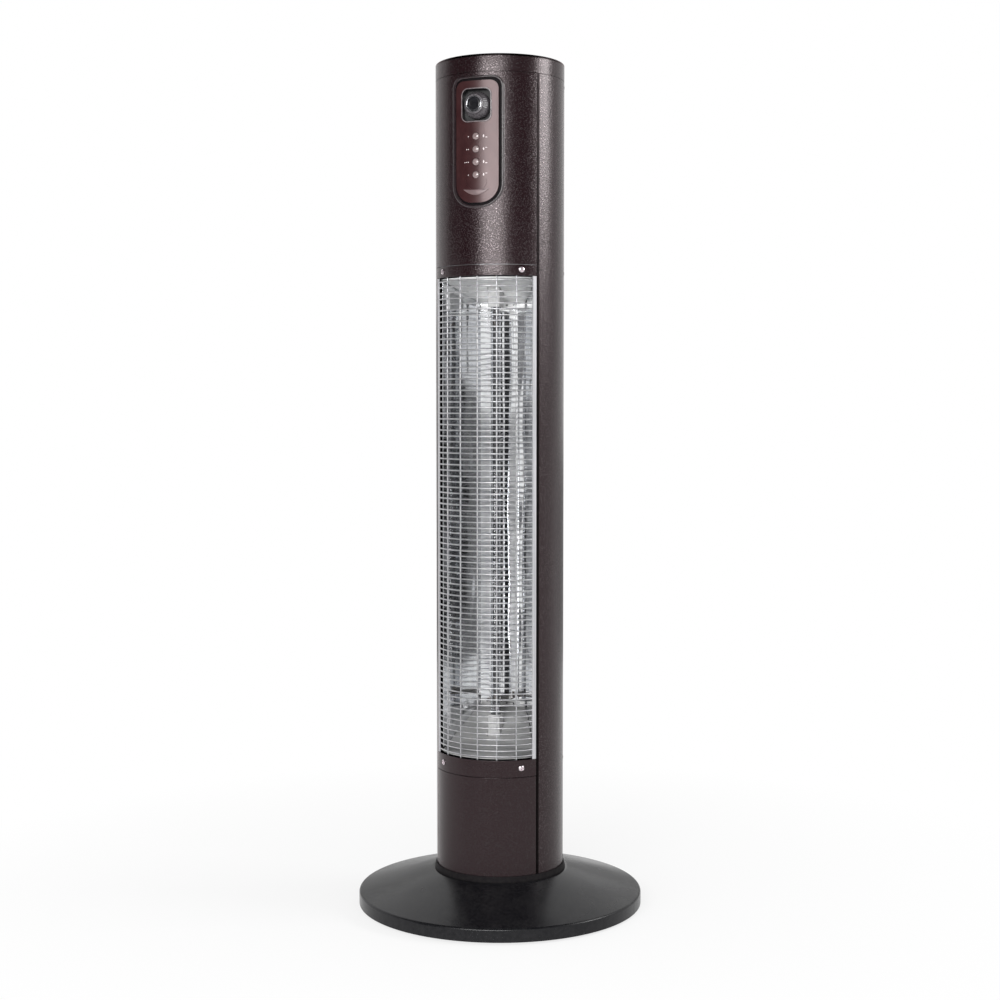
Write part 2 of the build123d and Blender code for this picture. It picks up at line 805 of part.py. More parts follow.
def end_reflector(mouth_z, back_z, inward):
    """Sloping polished plate closing one end of the trough, with a lip along the back wall."""
    lip_inset = reflector_sheet + sheet_gap
    outer_end, inner_end = (0, top) if inward > 0 else (top, 0)
    passage = end_cap_width + end_cap_passage
    with BuildPart() as plate:
        with BuildSketch(Plane.XY.offset(window_bottom)):
            trough_outline(lip_inset, lip_inset, 0)
        extrude(amount=window_height)
        with BuildSketch(SIDE):
            wedge_outline(mouth_z, back_z, outer_end)
        extrude(amount=2 * column_radius, mode=Mode.SUBTRACT)
        with BuildSketch(SIDE):
            wedge_outline(mouth_z + inward * reflector_sheet, back_z + inward * reflector_sheet,
                          inner_end)
        extrude(amount=2 * column_radius, mode=Mode.SUBTRACT)
        # lip standing along the back of the trough
        lip_y = reflector_back_y - lip_inset - reflector_sheet / 2
        lip_z = back_z + inward * (end_lip / 2 - lip_overlap)
        lip_width = reflector_back_width - 2 * lip_inset
        with BuildSketch(Plane.XY.offset(lip_z - end_lip / 2)):
            with Locations((0, lip_y)):
                Rectangle(lip_width, reflector_sheet)
        extrude(amount=end_lip)
        with BuildSketch(FRONT):
            for x in lip_hole_places:
                with Locations((x, lip_z + inward * lip_overlap / 2)):
                    Circle(lip_hole_diameter / 2)
        extrude(amount=-column_radius, mode=Mode.SUBTRACT)
        # passage for the lamp's end cap
        with BuildSketch(Plane.XY.offset(window_bottom)):
            with Locations((0, lamp_y)):
                Rectangle(passage, passage)
        extrude(amount=window_height, mode=Mode.SUBTRACT)
    return plate.part


save(end_reflector(reflector_low, bottom_back, 1), "lower_end_reflector")
save(end_reflector(reflector_high, top_back, -1), "upper_end_reflector")

# heat shield behind the trough, standing between the two bulkhead plates
with BuildPart() as heat_shield:
    with BuildSketch(Plane.XY.offset(lower_plate_top)):
        sector(shield_radius, shield_radius - shield_sheet, 180, shield_half_angle)
    extrude(amount=upper_plate_under - fit_gap - lower_plate_top)
save(heat_shield.part, "heat_shield")


def reflector_bracket(plate_z, up):
    """Angle bracket from a bulkhead plate to the back of the trough."""
    tab_y = reflector_back_y + bracket_sheet / 2 + sheet_gap
    reach = bracket_reach + (bottom_end_rise if up > 0 else top_end_drop + bulkhead_flange)
    with BuildPart() as bracket:
        with BuildSketch(Plane.XY.offset(min(plate_z, plate_z + up * reach))):
            with Locations((0, tab_y)):
                Rectangle(bracket_width, bracket_sheet)
        extrude(amount=reach)
        with BuildSketch(Plane.XY.offset(min(plate_z, plate_z + up * bracket_sheet))):
            with Locations((0, tab_y + bracket_foot / 2)):
                Rectangle(bracket_width, bracket_foot + bracket_sheet)
        extrude(amount=bracket_sheet)
    return bracket.part


save(reflector_bracket(lower_plate_top, 1), "lower_reflector_bracket")
save(reflector_bracket(upper_plate_under, -1), "upper_reflector_bracket")

# ================= lamp =================

lamp_share = (lamp_y - reflector_mouth_y) / chamber_depth
cap_low = reflector_low + bottom_end_rise * lamp_share - end_cap_reach
cap_high = reflector_high - top_end_drop * lamp_share + end_cap_reach
tube_low = cap_low + end_cap_height - lamp_end_gap
tube_high = cap_high - end_cap_height + lamp_end_gap

# quartz tube, closed at both ends
with BuildPart() as lamp_tube:
    with BuildSketch(Plane.XY.offset(tube_low)):
        with Locations((0, lamp_y)):
            Circle(lamp_diameter / 2)
    extrude(amount=tube_high - tube_low)
    with BuildSketch(Plane.XY.offset(tube_low + lamp_end_gap)):
        with Locations((0, lamp_y)):
            Circle(lamp_diameter / 2 - lamp_wall)
    extrude(amount=tube_high - tube_low - 2 * lamp_end_gap, mode=Mode.SUBTRACT)
save(lamp_tube.part, "lamp_tube")

# carbon element inside the tube
with BuildPart() as lamp_element:
    with BuildSketch(Plane.XY.offset(tube_low + lamp_end_gap + fit_gap)):
        with Locations((0, lamp_y)):
            Rectangle(element_width, element_thickness)
    extrude(amount=tube_high - tube_low - 2 * lamp_end_gap - 2 * fit_gap)
save(lamp_element.part, "lamp_element")


# ceramic blocks with sockets for the tube's ends
with BuildPart() as lamp_end_caps:
    for low in (cap_low, cap_high - end_cap_height):
        with BuildSketch(Plane.XY.offset(low)):
            with Locations((0, lamp_y)):
                RectangleRounded(end_cap_width, end_cap_width, block_corner)
        extrude(amount=end_cap_height)
    with BuildSketch(Plane.XY.offset(tube_low - fit_gap)):
        with Locations((0, lamp_y)):
            Circle(lamp_diameter / 2 + running_gap)
    extrude(amount=tube_high - tube_low + 2 * fit_gap, mode=Mode.SUBTRACT)
save(lamp_end_caps.part, "lamp_end_caps")


def lamp_holder(cap_z, back_from_low):
    """Sheet arm from the back of the trough that clasps the ceramic block."""
    block_side = end_cap_width + 2 * sheet_gap
    arm_front = lamp_y + block_side / 2
    arm_back = reflector_back_y - reflector_sheet - sheet_gap
    with BuildPart() as holder:
        with BuildSketch(Plane.XY.offset(cap_z)):
            with Locations((0, (arm_front + arm_back) / 2)):
                Rectangle(holder_width, arm_back - arm_front)
            with Locations((0, lamp_y)):
                Rectangle(block_side + 2 * holder_sheet, block_side)
                Rectangle(block_side, block_side, mode=Mode.SUBTRACT)
        extrude(amount=holder_sheet)
        with BuildSketch(Plane.XY.offset(cap_z)):
            with Locations((0, arm_back - holder_sheet / 2)):
                Rectangle(holder_width, holder_sheet)
        extrude(amount=back_from_low * holder_tail)
    return holder.part


save(lamp_holder(bottom_back + end_lip + holder_gap, 1), "lower_lamp_holder")
save(lamp_holder(top_back - end_lip - holder_gap - holder_sheet, -1), "upper_lamp_holder")

# ================= controls =================

carrier_outer = shell_inner - fit_gap
carrier_inner = carrier_outer - carrier_wall
fascia_inner = carrier_outer + fit_gap / 2
fascia_outer = fascia_inner + fascia_wall
well_front = fascia_outer + well_proud
well_floor = well_front - well_depth
well_back = well_floor - well_wall
knob_back = well_floor + knob_floor_gap
knob_front = knob_back + knob_length
button_heights = [cap_seam - first_button_drop - n * button_pitch for n in range(button_count)]
board_front = column_radius - board_depth
board_top = well_z - well_height / 2 - board_gap
board_height = opening_height - board_below_opening
board_middle = board_top - board_height / 2
post_heights = (board_top - post_top_inset, board_top - board_height + post_bottom_inset)
post_spots = [(x, z) for x in (-board_post_x, board_post_x) for z in post_heights]


def front_plane(distance):
    """Plane facing the front at a distance from the column's axis."""
    return Plane.XZ.offset(distance)


def curved_block(outer, inner, half_angle):
    """Curved wall the height of the control opening and a little over, to be trimmed."""
    with BuildSketch(Plane.XY.offset(opening_top - opening_height - cutter_start)) as section:
        sector(outer, inner, 0, half_angle)
    extrude(section.sketch, amount=opening_height + 2 * cutter_start)


# trim ring that lines the opening and stands a little proud
with BuildPart() as control_bezel:
    curved_block(column_radius + bezel_proud, shell_inner, front_half_angle)
    with BuildSketch(FRONT):
        edge = fit_gap / 2
        rounded_outline(opening_width - 2 * edge, opening_height - 2 * edge, opening_top - edge,
                        opening_top_corner - edge, opening_bottom_corner - edge)
        rounded_outline(opening_width - 2 * bezel_width, opening_height - 2 * bezel_width,
                        opening_top - bezel_width, opening_top_corner - bezel_width,
                        opening_bottom_corner - bezel_width, mode=Mode.SUBTRACT)
    extrude(amount=cut_radius, mode=Mode.INTERSECT)
save(control_bezel.part, "control_bezel")

# carrier behind the opening: it holds the fascia, the knob well and the board
with BuildPart() as control_carrier:
    curved_block(carrier_outer, carrier_inner, front_half_angle)
    with BuildSketch(FRONT):
        rounded_outline(opening_width + 2 * carrier_overlap, opening_height + 2 * carrier_overlap,
                        opening_top + carrier_overlap, opening_top_corner, opening_bottom_corner)
    extrude(amount=cut_radius, mode=Mode.INTERSECT)
    with BuildSketch(front_plane(board_front)):
        with Locations(*post_spots):
            Circle(board_post_diameter / 2)
    extrude(amount=carrier_inner - board_front - board_post_short)
    with BuildSketch(FRONT):
        with Locations((0, well_z)):
            RectangleRounded(well_width, well_height, well_corner)
        with Locations(*[(0, z) for z in button_heights]):
            Circle(button_diameter / 2 + button_gap)
    extrude(amount=cut_radius, mode=Mode.SUBTRACT)
    with BuildSketch(front_plane(board_front)):
        with Locations(*post_spots):
            Circle(board_screw_diameter / 2 + thread_gap)
    extrude(amount=board_screw_bite + thread_gap, mode=Mode.SUBTRACT)
save(control_carrier.part, "control_carrier")

# crescent lip near the foot of the fascia
with BuildPart() as crescent_lip:
    curved_block(fascia_outer + crescent_proud, fascia_inner, front_half_angle)
    with BuildSketch(front_plane(carrier_inner)):
        with Locations((0, cap_seam - crescent_drop + crescent_width / 2)):
            Circle(crescent_width / 2)
        with Locations((0, cap_seam - crescent_drop + crescent_width / 2 + crescent_thickness)):
            Circle(crescent_width / 2, mode=Mode.SUBTRACT)
    extrude(amount=column_radius, mode=Mode.INTERSECT)

# glossy curved fascia, pierced for the knob well and the buttons
with BuildPart() as control_fascia:
    curved_block(fascia_outer, fascia_inner, front_half_angle)
    with BuildSketch(FRONT):
        rounded_outline(opening_width - 2 * fascia_margin, opening_height - 2 * fascia_margin,
                        opening_top - fascia_margin, opening_top_corner - fascia_margin / 2,
                        opening_bottom_corner - fascia_margin)
    extrude(amount=cut_radius, mode=Mode.INTERSECT)
    add(crescent_lip.part)
    with BuildSketch(FRONT):
        with Locations((0, well_z)):
            RectangleRounded(well_width, well_height, well_corner)
        with Locations(*[(0, z) for z in button_heights]):
            Circle(button_diameter / 2 + button_gap)
    extrude(amount=cut_radius, mode=Mode.SUBTRACT)
save(control_fascia.part, "control_fascia")

# cup round the knob; its rim follows the curve of the fascia
with BuildPart() as knob_well:
    curved_block(well_front, well_back - well_depth, front_half_angle)
    with BuildSketch(front_plane(well_back)):
        with Locations((0, well_z)):
            RectangleRounded(well_width - fit_gap, well_height - fit_gap, well_corner - fit_gap / 2)
    extrude(amount=2 * well_depth, mode=Mode.INTERSECT)
    with BuildSketch(front_plane(well_floor)):
        with Locations((0, well_z)):
            inside = fit_gap + 2 * well_wall
            RectangleRounded(well_width - inside, well_height - inside, well_corner - inside / 2)
    extrude(amount=2 * well_depth, mode=Mode.SUBTRACT)
    with BuildSketch(front_plane(well_back)):
        with Locations((0, well_z)):
            Circle(bush_diameter / 2 + thread_gap)
    extrude(amount=well_wall, mode=Mode.SUBTRACT)
save(knob_well.part, "knob_well")

# rotary switch behind the well, its threaded bush through the floor
bush_front = well_floor + bush_nut_thickness + bush_nose
with BuildPart() as rotary_switch:
    with BuildSketch(front_plane(well_back - switch_depth)):
        with Locations((0, well_z)):
            RectangleRounded(switch_side, switch_side, block_corner)
    extrude(amount=switch_depth)
    with BuildSketch(front_plane(well_back)):
        with Locations((0, well_z)):
            Circle(bush_diameter / 2)
    extrude(amount=bush_front - well_back)
    with BuildSketch(front_plane(well_back - switch_depth / 2)):
        with Locations((0, well_z)):
            Circle(shaft_diameter / 2 + running_gap)
    extrude(amount=switch_depth + well_depth, mode=Mode.SUBTRACT)
    # solder tags on the back
    with BuildSketch(front_plane(well_back - switch_depth - tag_depth)):
        tags = [(n * tag_pitch, well_z + side * tag_offset) for n in (-1, 0, 1) for side in (-1, 1)]
        with Locations(*tags):
            Rectangle(tag_width, tag_sheet)
    extrude(amount=tag_depth)
save(rotary_switch.part, "rotary_switch")

with BuildPart() as switch_nut:
    with BuildSketch(front_plane(well_floor)):
        with Locations((0, well_z)):
            RegularPolygon(bush_nut_across / 2, 6, major_radius=False)
            Circle(bush_diameter / 2 + thread_gap, mode=Mode.SUBTRACT)
    extrude(amount=bush_nut_thickness)
save(switch_nut.part, "switch_nut")

# D-shaft from the switch into the knob
shaft_back = well_back - switch_depth / 2 + shaft_end_gap
shaft_front = knob_front - shaft_short
with BuildPart() as knob_shaft:
    with BuildSketch(front_plane(shaft_back)):
        with Locations((0, well_z)):
            Circle(shaft_diameter / 2)
    extrude(amount=shaft_front - shaft_back)
    with BuildSketch(front_plane(bush_front + bush_nose)):
        with Locations((0, well_z + shaft_diameter)):
            Rectangle(shaft_diameter, 2 * (shaft_diameter / 2 + shaft_flat))
    extrude(amount=knob_length, mode=Mode.SUBTRACT)
save(knob_shaft.part, "knob_shaft")

# knob: round grip, hollow at the back over the nut, with a seat for its cap and a pointer groove
with BuildPart() as knob:
    with BuildSketch(front_plane(knob_back)):
        with Locations((0, well_z)):
            Circle(knob_diameter / 2)
    extrude(amount=knob_length)
    fillet(knob.edges().filter_by(GeomType.CIRCLE).sort_by(Axis.Y)[0], knob_edge_radius)
    with BuildSketch(front_plane(knob_back)):
        with Locations((0, well_z)):
            Circle(bush_nut_across / 2 + nut_pocket_gap)
    extrude(amount=bush_front + nut_pocket_depth_gap - knob_back, mode=Mode.SUBTRACT)
    with BuildSketch(front_plane(knob_back)):
        with Locations((0, well_z)):
            Circle(shaft_diameter / 2 + thread_gap)
            with Locations((0, shaft_diameter)):
                Rectangle(2 * shaft_diameter, shaft_diameter + 2 * (shaft_flat - thread_gap),
                          mode=Mode.SUBTRACT)
    extrude(amount=shaft_front + sheet_gap - knob_back, mode=Mode.SUBTRACT)
    with BuildSketch(front_plane(knob_front - knob_cap_seat)):
        with Locations((0, well_z)):
            Circle(knob_cap_diameter / 2 + knob_ring_width + thread_gap)
    extrude(amount=knob_length, mode=Mode.SUBTRACT)
    with BuildSketch(front_plane(knob_front - pointer_depth)):
        with Locations((0, well_z + (knob_cap_diameter + knob_diameter) / 4)):
            Rectangle(pointer_width, (knob_diameter - knob_cap_diameter) / 2 - pointer_margin)
    extrude(amount=knob_length, mode=Mode.SUBTRACT)
save(knob.part, "knob")

with BuildPart() as knob_cap:
    with BuildSketch(front_plane(knob_front - knob_cap_seat)):
        with Locations((0, well_z)):
            Circle(knob_cap_diameter / 2)
    extrude(amount=knob_cap_seat + knob_cap_proud)
    fillet(knob_cap.edges().filter_by(GeomType.CIRCLE).sort_by(Axis.Y)[0], knob_cap_proud)
save(knob_cap.part, "knob_cap")

with BuildPart() as knob_ring:
    with BuildSketch(front_plane(knob_front - knob_cap_seat)):
        with Locations((0, well_z)):
            Circle(knob_cap_diameter / 2 + knob_ring_width)
            Circle(knob_cap_diameter / 2 + thread_gap, mode=Mode.SUBTRACT)
    extrude(amount=knob_cap_seat + knob_cap_proud / 2)
save(knob_ring.part, "knob_ring")

# four push buttons with a flange behind the carrier and a stem towards the tact switch
flange_front = carrier_inner - flange_gap
tact_front = board_front + tact_height
stem_back = tact_front + button_travel + stem_gap
for number, height in enumerate(button_heights, start=1):
    with BuildPart() as button:
        with BuildSketch(front_plane(flange_front - button_flange_thickness)):
            with Locations((0, height)):
                Circle(button_flange_diameter / 2)
        extrude(amount=button_flange_thickness)
        with BuildSketch(front_plane(flange_front)):
            with Locations((0, height)):
                Circle(button_diameter / 2)
        extrude(amount=fascia_outer + button_proud - flange_front)
        fillet(button.edges().filter_by(GeomType.CIRCLE).sort_by(Axis.Y)[0], button_edge_radius)
        with BuildSketch(front_plane(stem_back)):
            with Locations((0, height)):
                Circle(stem_diameter / 2)
        extrude(amount=flange_front - button_flange_thickness - stem_back)
    save(button.part, "button_" + str(number))

# control board on the carrier's posts
with BuildPart() as control_board:
    with BuildSketch(front_plane(board_front - board_thickness)):
        with Locations((0, board_middle)):
            RectangleRounded(board_width, board_height, block_corner)
        with Locations(*post_spots):
            Circle(board_screw_diameter / 2 + fit_gap, mode=Mode.SUBTRACT)
    extrude(amount=board_thickness)
save(control_board.part, "control_board")

with BuildPart() as tact_switches:
    with BuildSketch(front_plane(board_front)):
        with Locations(*[(0, z) for z in button_heights]):
            Rectangle(tact_side, tact_side)
    extrude(amount=tact_height - tact_plunger_height)
    with BuildSketch(front_plane(tact_front - tact_plunger_height)):
        with Locations(*[(0, z) for z in button_heights]):
            Circle(tact_plunger_diameter / 2)
    extrude(amount=tact_plunger_height)
save(tact_switches.part, "tact_switches")

# relay and smoothing capacitor on the back of the board
board_back = board_front - board_thickness
with BuildPart() as board_components:
    with BuildSketch(front_plane(board_back - relay_depth)):
        with Locations((relay_x, board_middle + relay_rise)):
            Rectangle(relay_width, relay_height)
    extrude(amount=relay_depth)
    with BuildSketch(front_plane(board_back - relay_depth - capacitor_extra)):
        with Locations((capacitor_x, board_middle - capacitor_drop)):
            Circle(capacitor_diameter / 2)
    extrude(amount=relay_depth + capacitor_extra)
save(board_components.part, "board_components")

with BuildPart() as board_screws:
    with BuildSketch(front_plane(board_back - board_screw_head_height)):
        with Locations(*post_spots):
            Circle(board_screw_head / 2)
    extrude(amount=board_screw_head_height)
    with BuildSketch(front_plane(board_back)):
        with Locations(*post_spots):
            Circle(board_screw_diameter / 2)
    extrude(amount=board_thickness + board_screw_bite)
save(board_screws.part, "board_screws")

# ================= wiring and inlet =================

terminal_top = lower_seam + fit_gap
terminal_low = terminal_top - terminal_height
terminal_y = riser_y - terminal_setback
terminal_middle = terminal_low + terminal_height / 2
terminal_holes = [(n * terminal_hole_pitch, terminal_middle) for n in (-1.5, -0.5, 0.5, 1.5)]

# terminal block hung from the lower bulkhead
with BuildPart() as terminal_block:
    with BuildSketch(Plane.XY.offset(terminal_low)):
        with Locations((0, terminal_y)):
            Rectangle(terminal_width, terminal_depth)
            with Locations((-riser_x, terminal_setback), (riser_x, terminal_setback)):
                Rectangle(lead_room, lead_room, mode=Mode.SUBTRACT)
    extrude(amount=terminal_height)
    with BuildSketch(Plane.XZ.offset(-terminal_y + terminal_depth / 2)):
        with Locations(*terminal_holes):
            Circle(terminal_hole_diameter / 2)
    extrude(amount=-terminal_hole_depth, mode=Mode.SUBTRACT)
save(terminal_block.part, "terminal_block")


def leads(routes, bend):
    """Insulated leads along straight runs joined by arcs."""
    with BuildPart() as bundle:
        for points in routes:
            start = Vector(*points[0])
            heading = (Vector(*points[1]) - start).normalized()
            with BuildLine() as route:
                FilletPolyline(*points, radius=bend)
            with BuildSketch(Plane(origin=start, z_dir=heading)) as section:
                Circle(lead_diameter / 2)
            sweep(section.sketch, path=route.wires()[0])
    return bundle.part


switch_tag_y = tag_depth + switch_depth - well_back
tag_low = well_z - tag_offset

# two leads rise behind the trough from the terminal block to the switch
risers = []
for side in (-1, 1):
    x = side * riser_x
    tag_x = side * tag_pitch
    risers.append([
        (x, riser_y, terminal_low + lead_end_rise),
        (x, riser_y, tag_low),
        (tag_x, switch_tag_y + tag_run, tag_low),
        (tag_x, switch_tag_y + fit_gap, tag_low),
    ])
save(leads(risers, lead_bend), "riser_leads")

# lamp leads: one down to the terminal block, one up to the switch
lamp_routes = [
    [
        (0, lamp_y, cap_low),
        (0, lamp_y, terminal_low + lamp_lead_rise),
        (0, terminal_y - terminal_depth / 2, terminal_low + lamp_lead_rise),
    ],
    [
        (0, lamp_y, cap_high),
        (0, lamp_y, tag_low),
        (0, switch_tag_y + fit_gap, tag_low),
    ],
]
save(leads(lamp_routes, lead_bend), "lamp_leads")

# supply lead from the cable inlet up to the terminal block
nut_outer = flange_outer - socket_wall - gland_nut_setback
inlet_inside = nut_outer - inlet_nut_thickness
supply_route = [
    (0, inlet_inside, inlet_z),
    (0, terminal_y, inlet_z),
    (0, terminal_y, terminal_low),
]
save(leads([supply_route], 2 * lead_bend), "supply_lead")

# over-temperature cut-out on the back of the trough
cutout_z = window_bottom + cutout_rise
with BuildPart() as thermal_cutout:
    with BuildSketch(Plane.XZ.offset(-reflector_back_y - sheet_gap)):
        with Locations((0, cutout_z)):
            Circle(cutout_diameter / 2)
    extrude(amount=-cutout_thickness)
    with BuildSketch(Plane.XZ.offset(-reflector_back_y - sheet_gap)):
        with Locations((0, cutout_z)):
            SlotOverall(cutout_diameter + cutout_ear, cutout_ear_width)
    extrude(amount=-cutout_ear_sheet)
    with BuildSketch(Plane.XZ.offset(-reflector_back_y - cutout_thickness)):
        with Locations((-cutout_tag_x, cutout_z), (cutout_tag_x, cutout_z)):
            Rectangle(tag_sheet, cutout_tag_height)
    extrude(amount=-cutout_tag_length)
save(thermal_cutout.part, "thermal_cutout")

# cable inlet low on the back: gland with its flange outside and a nut inside the socket
gland_face = column_radius + thread_gap
gland_inside = inlet_inside + gland_tail
with BuildPart() as cable_gland:
    with BuildSketch(Plane.XZ.offset(-gland_inside)):
        with Locations((0, inlet_z)):
            Circle(inlet_diameter / 2)
    extrude(amount=-(gland_face - gland_inside))
    with BuildSketch(Plane.XZ.offset(-gland_face)):
        with Locations((0, inlet_z)):
            RegularPolygon(inlet_nut_across / 2, 6, major_radius=False)
    extrude(amount=-inlet_nut_thickness)
    with BuildSketch(Plane.XZ.offset(-gland_face - inlet_nut_thickness)):
        with Locations((0, inlet_z)):
            Circle(inlet_diameter / 2)
    extrude(amount=-inlet_nose, taper=inlet_nose_taper)
save(cable_gland.part, "cable_gland")

with BuildPart() as gland_nut:
    with BuildSketch(Plane.XZ.offset(-nut_outer)):
        with Locations((0, inlet_z)):
            RegularPolygon(inlet_nut_across / 2, 6, major_radius=False)
            Circle(inlet_diameter / 2 + thread_gap, mode=Mode.SUBTRACT)
    extrude(amount=gland_nut_thickness)
save(gland_nut.part, "gland_nut")
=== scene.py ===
import random
from math import atan2, copysign, cos, dist, pi, radians, sin, sqrt, tau

import bmesh
import bpy
from bpy.props import FloatProperty, FloatVectorProperty, IntProperty, PointerProperty
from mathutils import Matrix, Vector, noise


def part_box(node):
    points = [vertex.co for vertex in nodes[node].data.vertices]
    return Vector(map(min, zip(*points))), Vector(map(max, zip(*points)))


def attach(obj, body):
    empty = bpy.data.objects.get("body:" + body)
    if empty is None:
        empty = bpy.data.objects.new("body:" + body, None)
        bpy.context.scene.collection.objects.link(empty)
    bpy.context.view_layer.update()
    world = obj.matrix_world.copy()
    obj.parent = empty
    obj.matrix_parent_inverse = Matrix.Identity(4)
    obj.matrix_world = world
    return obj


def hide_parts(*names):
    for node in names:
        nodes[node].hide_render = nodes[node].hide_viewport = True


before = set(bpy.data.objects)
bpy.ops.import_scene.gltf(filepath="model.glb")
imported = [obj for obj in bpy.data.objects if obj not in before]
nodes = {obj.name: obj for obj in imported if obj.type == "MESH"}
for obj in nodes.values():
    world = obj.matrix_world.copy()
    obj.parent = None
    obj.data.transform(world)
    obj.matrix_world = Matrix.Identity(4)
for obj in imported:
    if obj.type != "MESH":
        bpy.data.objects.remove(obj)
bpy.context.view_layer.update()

bl_info = {
    "name": "Patio heater tower",
    "version": (1, 0, 0),
    "blender": (4, 5, 0),
    "location": "3D View > Sidebar > Heater",
    "description": "Finishes and fine pieces of an infrared patio heater tower, and its stage",
    "category": "Object",
}

MM = 0.001
MICRON = 0.000001
HEATER = "heater"
KNOB = "knob_turning"


def middle(node, axis):
    """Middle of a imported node's box along an axis."""
    return sum(getattr(corner, axis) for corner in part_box(node)) / 2


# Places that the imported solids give.
window_low, window_high = (corner.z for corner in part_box("guard_side_strips"))
trough_low, trough_high = (corner.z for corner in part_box("reflector"))
knob_low, knob_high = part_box("knob")
knob_face = -knob_low.y
head_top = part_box("head_front_panel")[1].z
column_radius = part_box("top_cap")[1].x
cap_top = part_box("top_cap")[1].z
button_bodies = {"button_1": "button_one", "button_2": "button_two", "button_3": "button_three",
                 "button_4": "button_four"}

# The trough in plan, and how far its ends slope in from the mouth to the back.
back_y, mouth_y, back_half, mouth_half = 14.2 * MM, -39.0 * MM, 29.2 * MM, 57.7 * MM
corner_y = back_y - 3.1 * MM
lower_slope, upper_slope = 48 * MM, 24 * MM
# The front panels end at this angle from the front.
panel_half_angle = radians(55.0)


# ---- settings

class HeaterSizes(bpy.types.PropertyGroup):
    """Sizes of the fine pieces."""

    wire_diameter: FloatProperty(
        name="Level wire", description="Thickness of the level wires of the guard",
        default=0.0017, unit="LENGTH")
    wire_pitch: FloatProperty(
        name="Wire pitch", description="Distance from one level wire to the next",
        default=0.00665, unit="LENGTH")
    upright_diameter: FloatProperty(
        name="Upright", description="Thickness of the uprights of the guard",
        default=0.0018, unit="LENGTH")
    guard_half_angle: FloatProperty(
        name="Guard half angle", description="How far the level wires reach round from the front",
        default=radians(51.3), subtype="ANGLE")
    wire_waviness: FloatProperty(
        name="Wire waviness", description="How far a wire strays from level",
        default=0.00012, unit="LENGTH")
    trough_dents: FloatProperty(
        name="Trough waviness", description="Height of the slow waves in the polished sheet",
        default=0.00045, unit="LENGTH")
    rim_bead: FloatProperty(
        name="Rim bead", description="How far the rim round the controls stands proud",
        default=0.0009, unit="LENGTH")
    knob_flutes: IntProperty(
        name="Knob flutes", description="Number of flutes round the grip of the knob",
        default=36, min=6, max=90)
    mark_size: FloatProperty(
        name="Mark size", description="Diameter of the printed dots beside the buttons",
        default=0.0012, unit="LENGTH")


class HeaterColours(bpy.types.PropertyGroup):
    """Colours of the finishes."""

    paint: FloatVectorProperty(
        name="Column paint", description="Dark tone of the column's textured paint",
        default=(0.0092, 0.0034, 0.0045), subtype="COLOR", size=3, min=0, max=1)
    paint_fleck: FloatVectorProperty(
        name="Paint fleck", description="Metallic fleck in the column's paint",
        default=(0.098, 0.086, 0.088), subtype="COLOR", size=3, min=0, max=1)
    base: FloatVectorProperty(
        name="Base paint", description="Satin paint of the base",
        default=(0.0040, 0.0040, 0.0050), subtype="COLOR", size=3, min=0, max=1)
    fascia: FloatVectorProperty(
        name="Fascia", description="Glossy plate of the controls",
        default=(0.021, 0.0060, 0.0068), subtype="COLOR", size=3, min=0, max=1)
    button: FloatVectorProperty(
        name="Buttons", description="Pearly plastic of the push buttons",
        default=(0.19, 0.145, 0.145), subtype="COLOR", size=3, min=0, max=1)
    polished: FloatVectorProperty(
        name="Polished aluminium", description="Sheet of the trough",
        default=(0.84, 0.85, 0.86), subtype="COLOR", size=3, min=0, max=1)
    wire: FloatVectorProperty(
        name="Guard wire", description="Bright plating of the guard",
        default=(0.52, 0.52, 0.53), subtype="COLOR", size=3, min=0, max=1)


class StageSettings(bpy.types.PropertyGroup):
    """Camera, lamps and floor."""

    lens: FloatProperty(
        name="Lens", description="Focal length on a 36 mm sensor, in millimetres",
        default=60.76, min=10)
    camera_spot: FloatVectorProperty(
        name="Camera place", description="Where the camera stands",
        default=(0.7230, -1.8835, 0.6024), subtype="TRANSLATION", size=3)
    camera_aim: FloatVectorProperty(
        name="Camera aim", description="The point that the camera looks at",
        default=(0.0, 0.0, 0.4872), subtype="TRANSLATION", size=3)
    key_power: FloatProperty(
        name="Key lamp", description="Power of the soft lamp in front of the head",
        default=56.0, unit="POWER")
    side_power: FloatProperty(
        name="Side lamp", description="Power of the soft lamp to the right",
        default=30.0, unit="POWER")
    fill_power: FloatProperty(
        name="Low fill", description="Power of the low lamp that lights the upper end plate",
        default=18.0, unit="POWER")
    daylight: FloatProperty(
        name="Room light", description="Strength of the even light from all round",
        default=0.55, min=0)
    floor_colour: FloatVectorProperty(
        name="Floor", description="Pale floor", default=(0.80, 0.80, 0.80),
        subtype="COLOR", size=3, min=0, max=1)


# ---- shared effects

def effect_group(name, inputs, outputs):
    """New shader node group; returns its tree, its entry sockets and its exit sockets."""
    tree = bpy.data.node_groups.new(name, "ShaderNodeTree")
    for label, value in inputs.items():
        kind = "NodeSocketVector" if isinstance(value, tuple) else "NodeSocketFloat"
        tree.interface.new_socket(label, in_out="INPUT", socket_type=kind).default_value = value
    for label in outputs:
        tree.interface.new_socket(label, in_out="OUTPUT", socket_type="NodeSocketFloat")
    return tree, tree.nodes.new("NodeGroupInput").outputs, tree.nodes.new("NodeGroupOutput").inputs


def add_node(tree, kind, values=None, **settings):
    """Adds a node, sets its properties, and fills or joins its inputs by name or place."""
    node = tree.nodes.new(kind)
    for key, value in settings.items():
        setattr(node, key, value)
    for key, value in (values or {}).items():
        if isinstance(value, bpy.types.NodeSocket):
            tree.links.new(value, node.inputs[key])
        else:
            node.inputs[key].default_value = value
    return node


def compute(tree, operation, first, second=0.0):
    """One step of arithmetic on two values."""
    node = add_node(tree, "ShaderNodeMath", {0: first, 1: second}, operation=operation)
    return node.outputs["Value"]


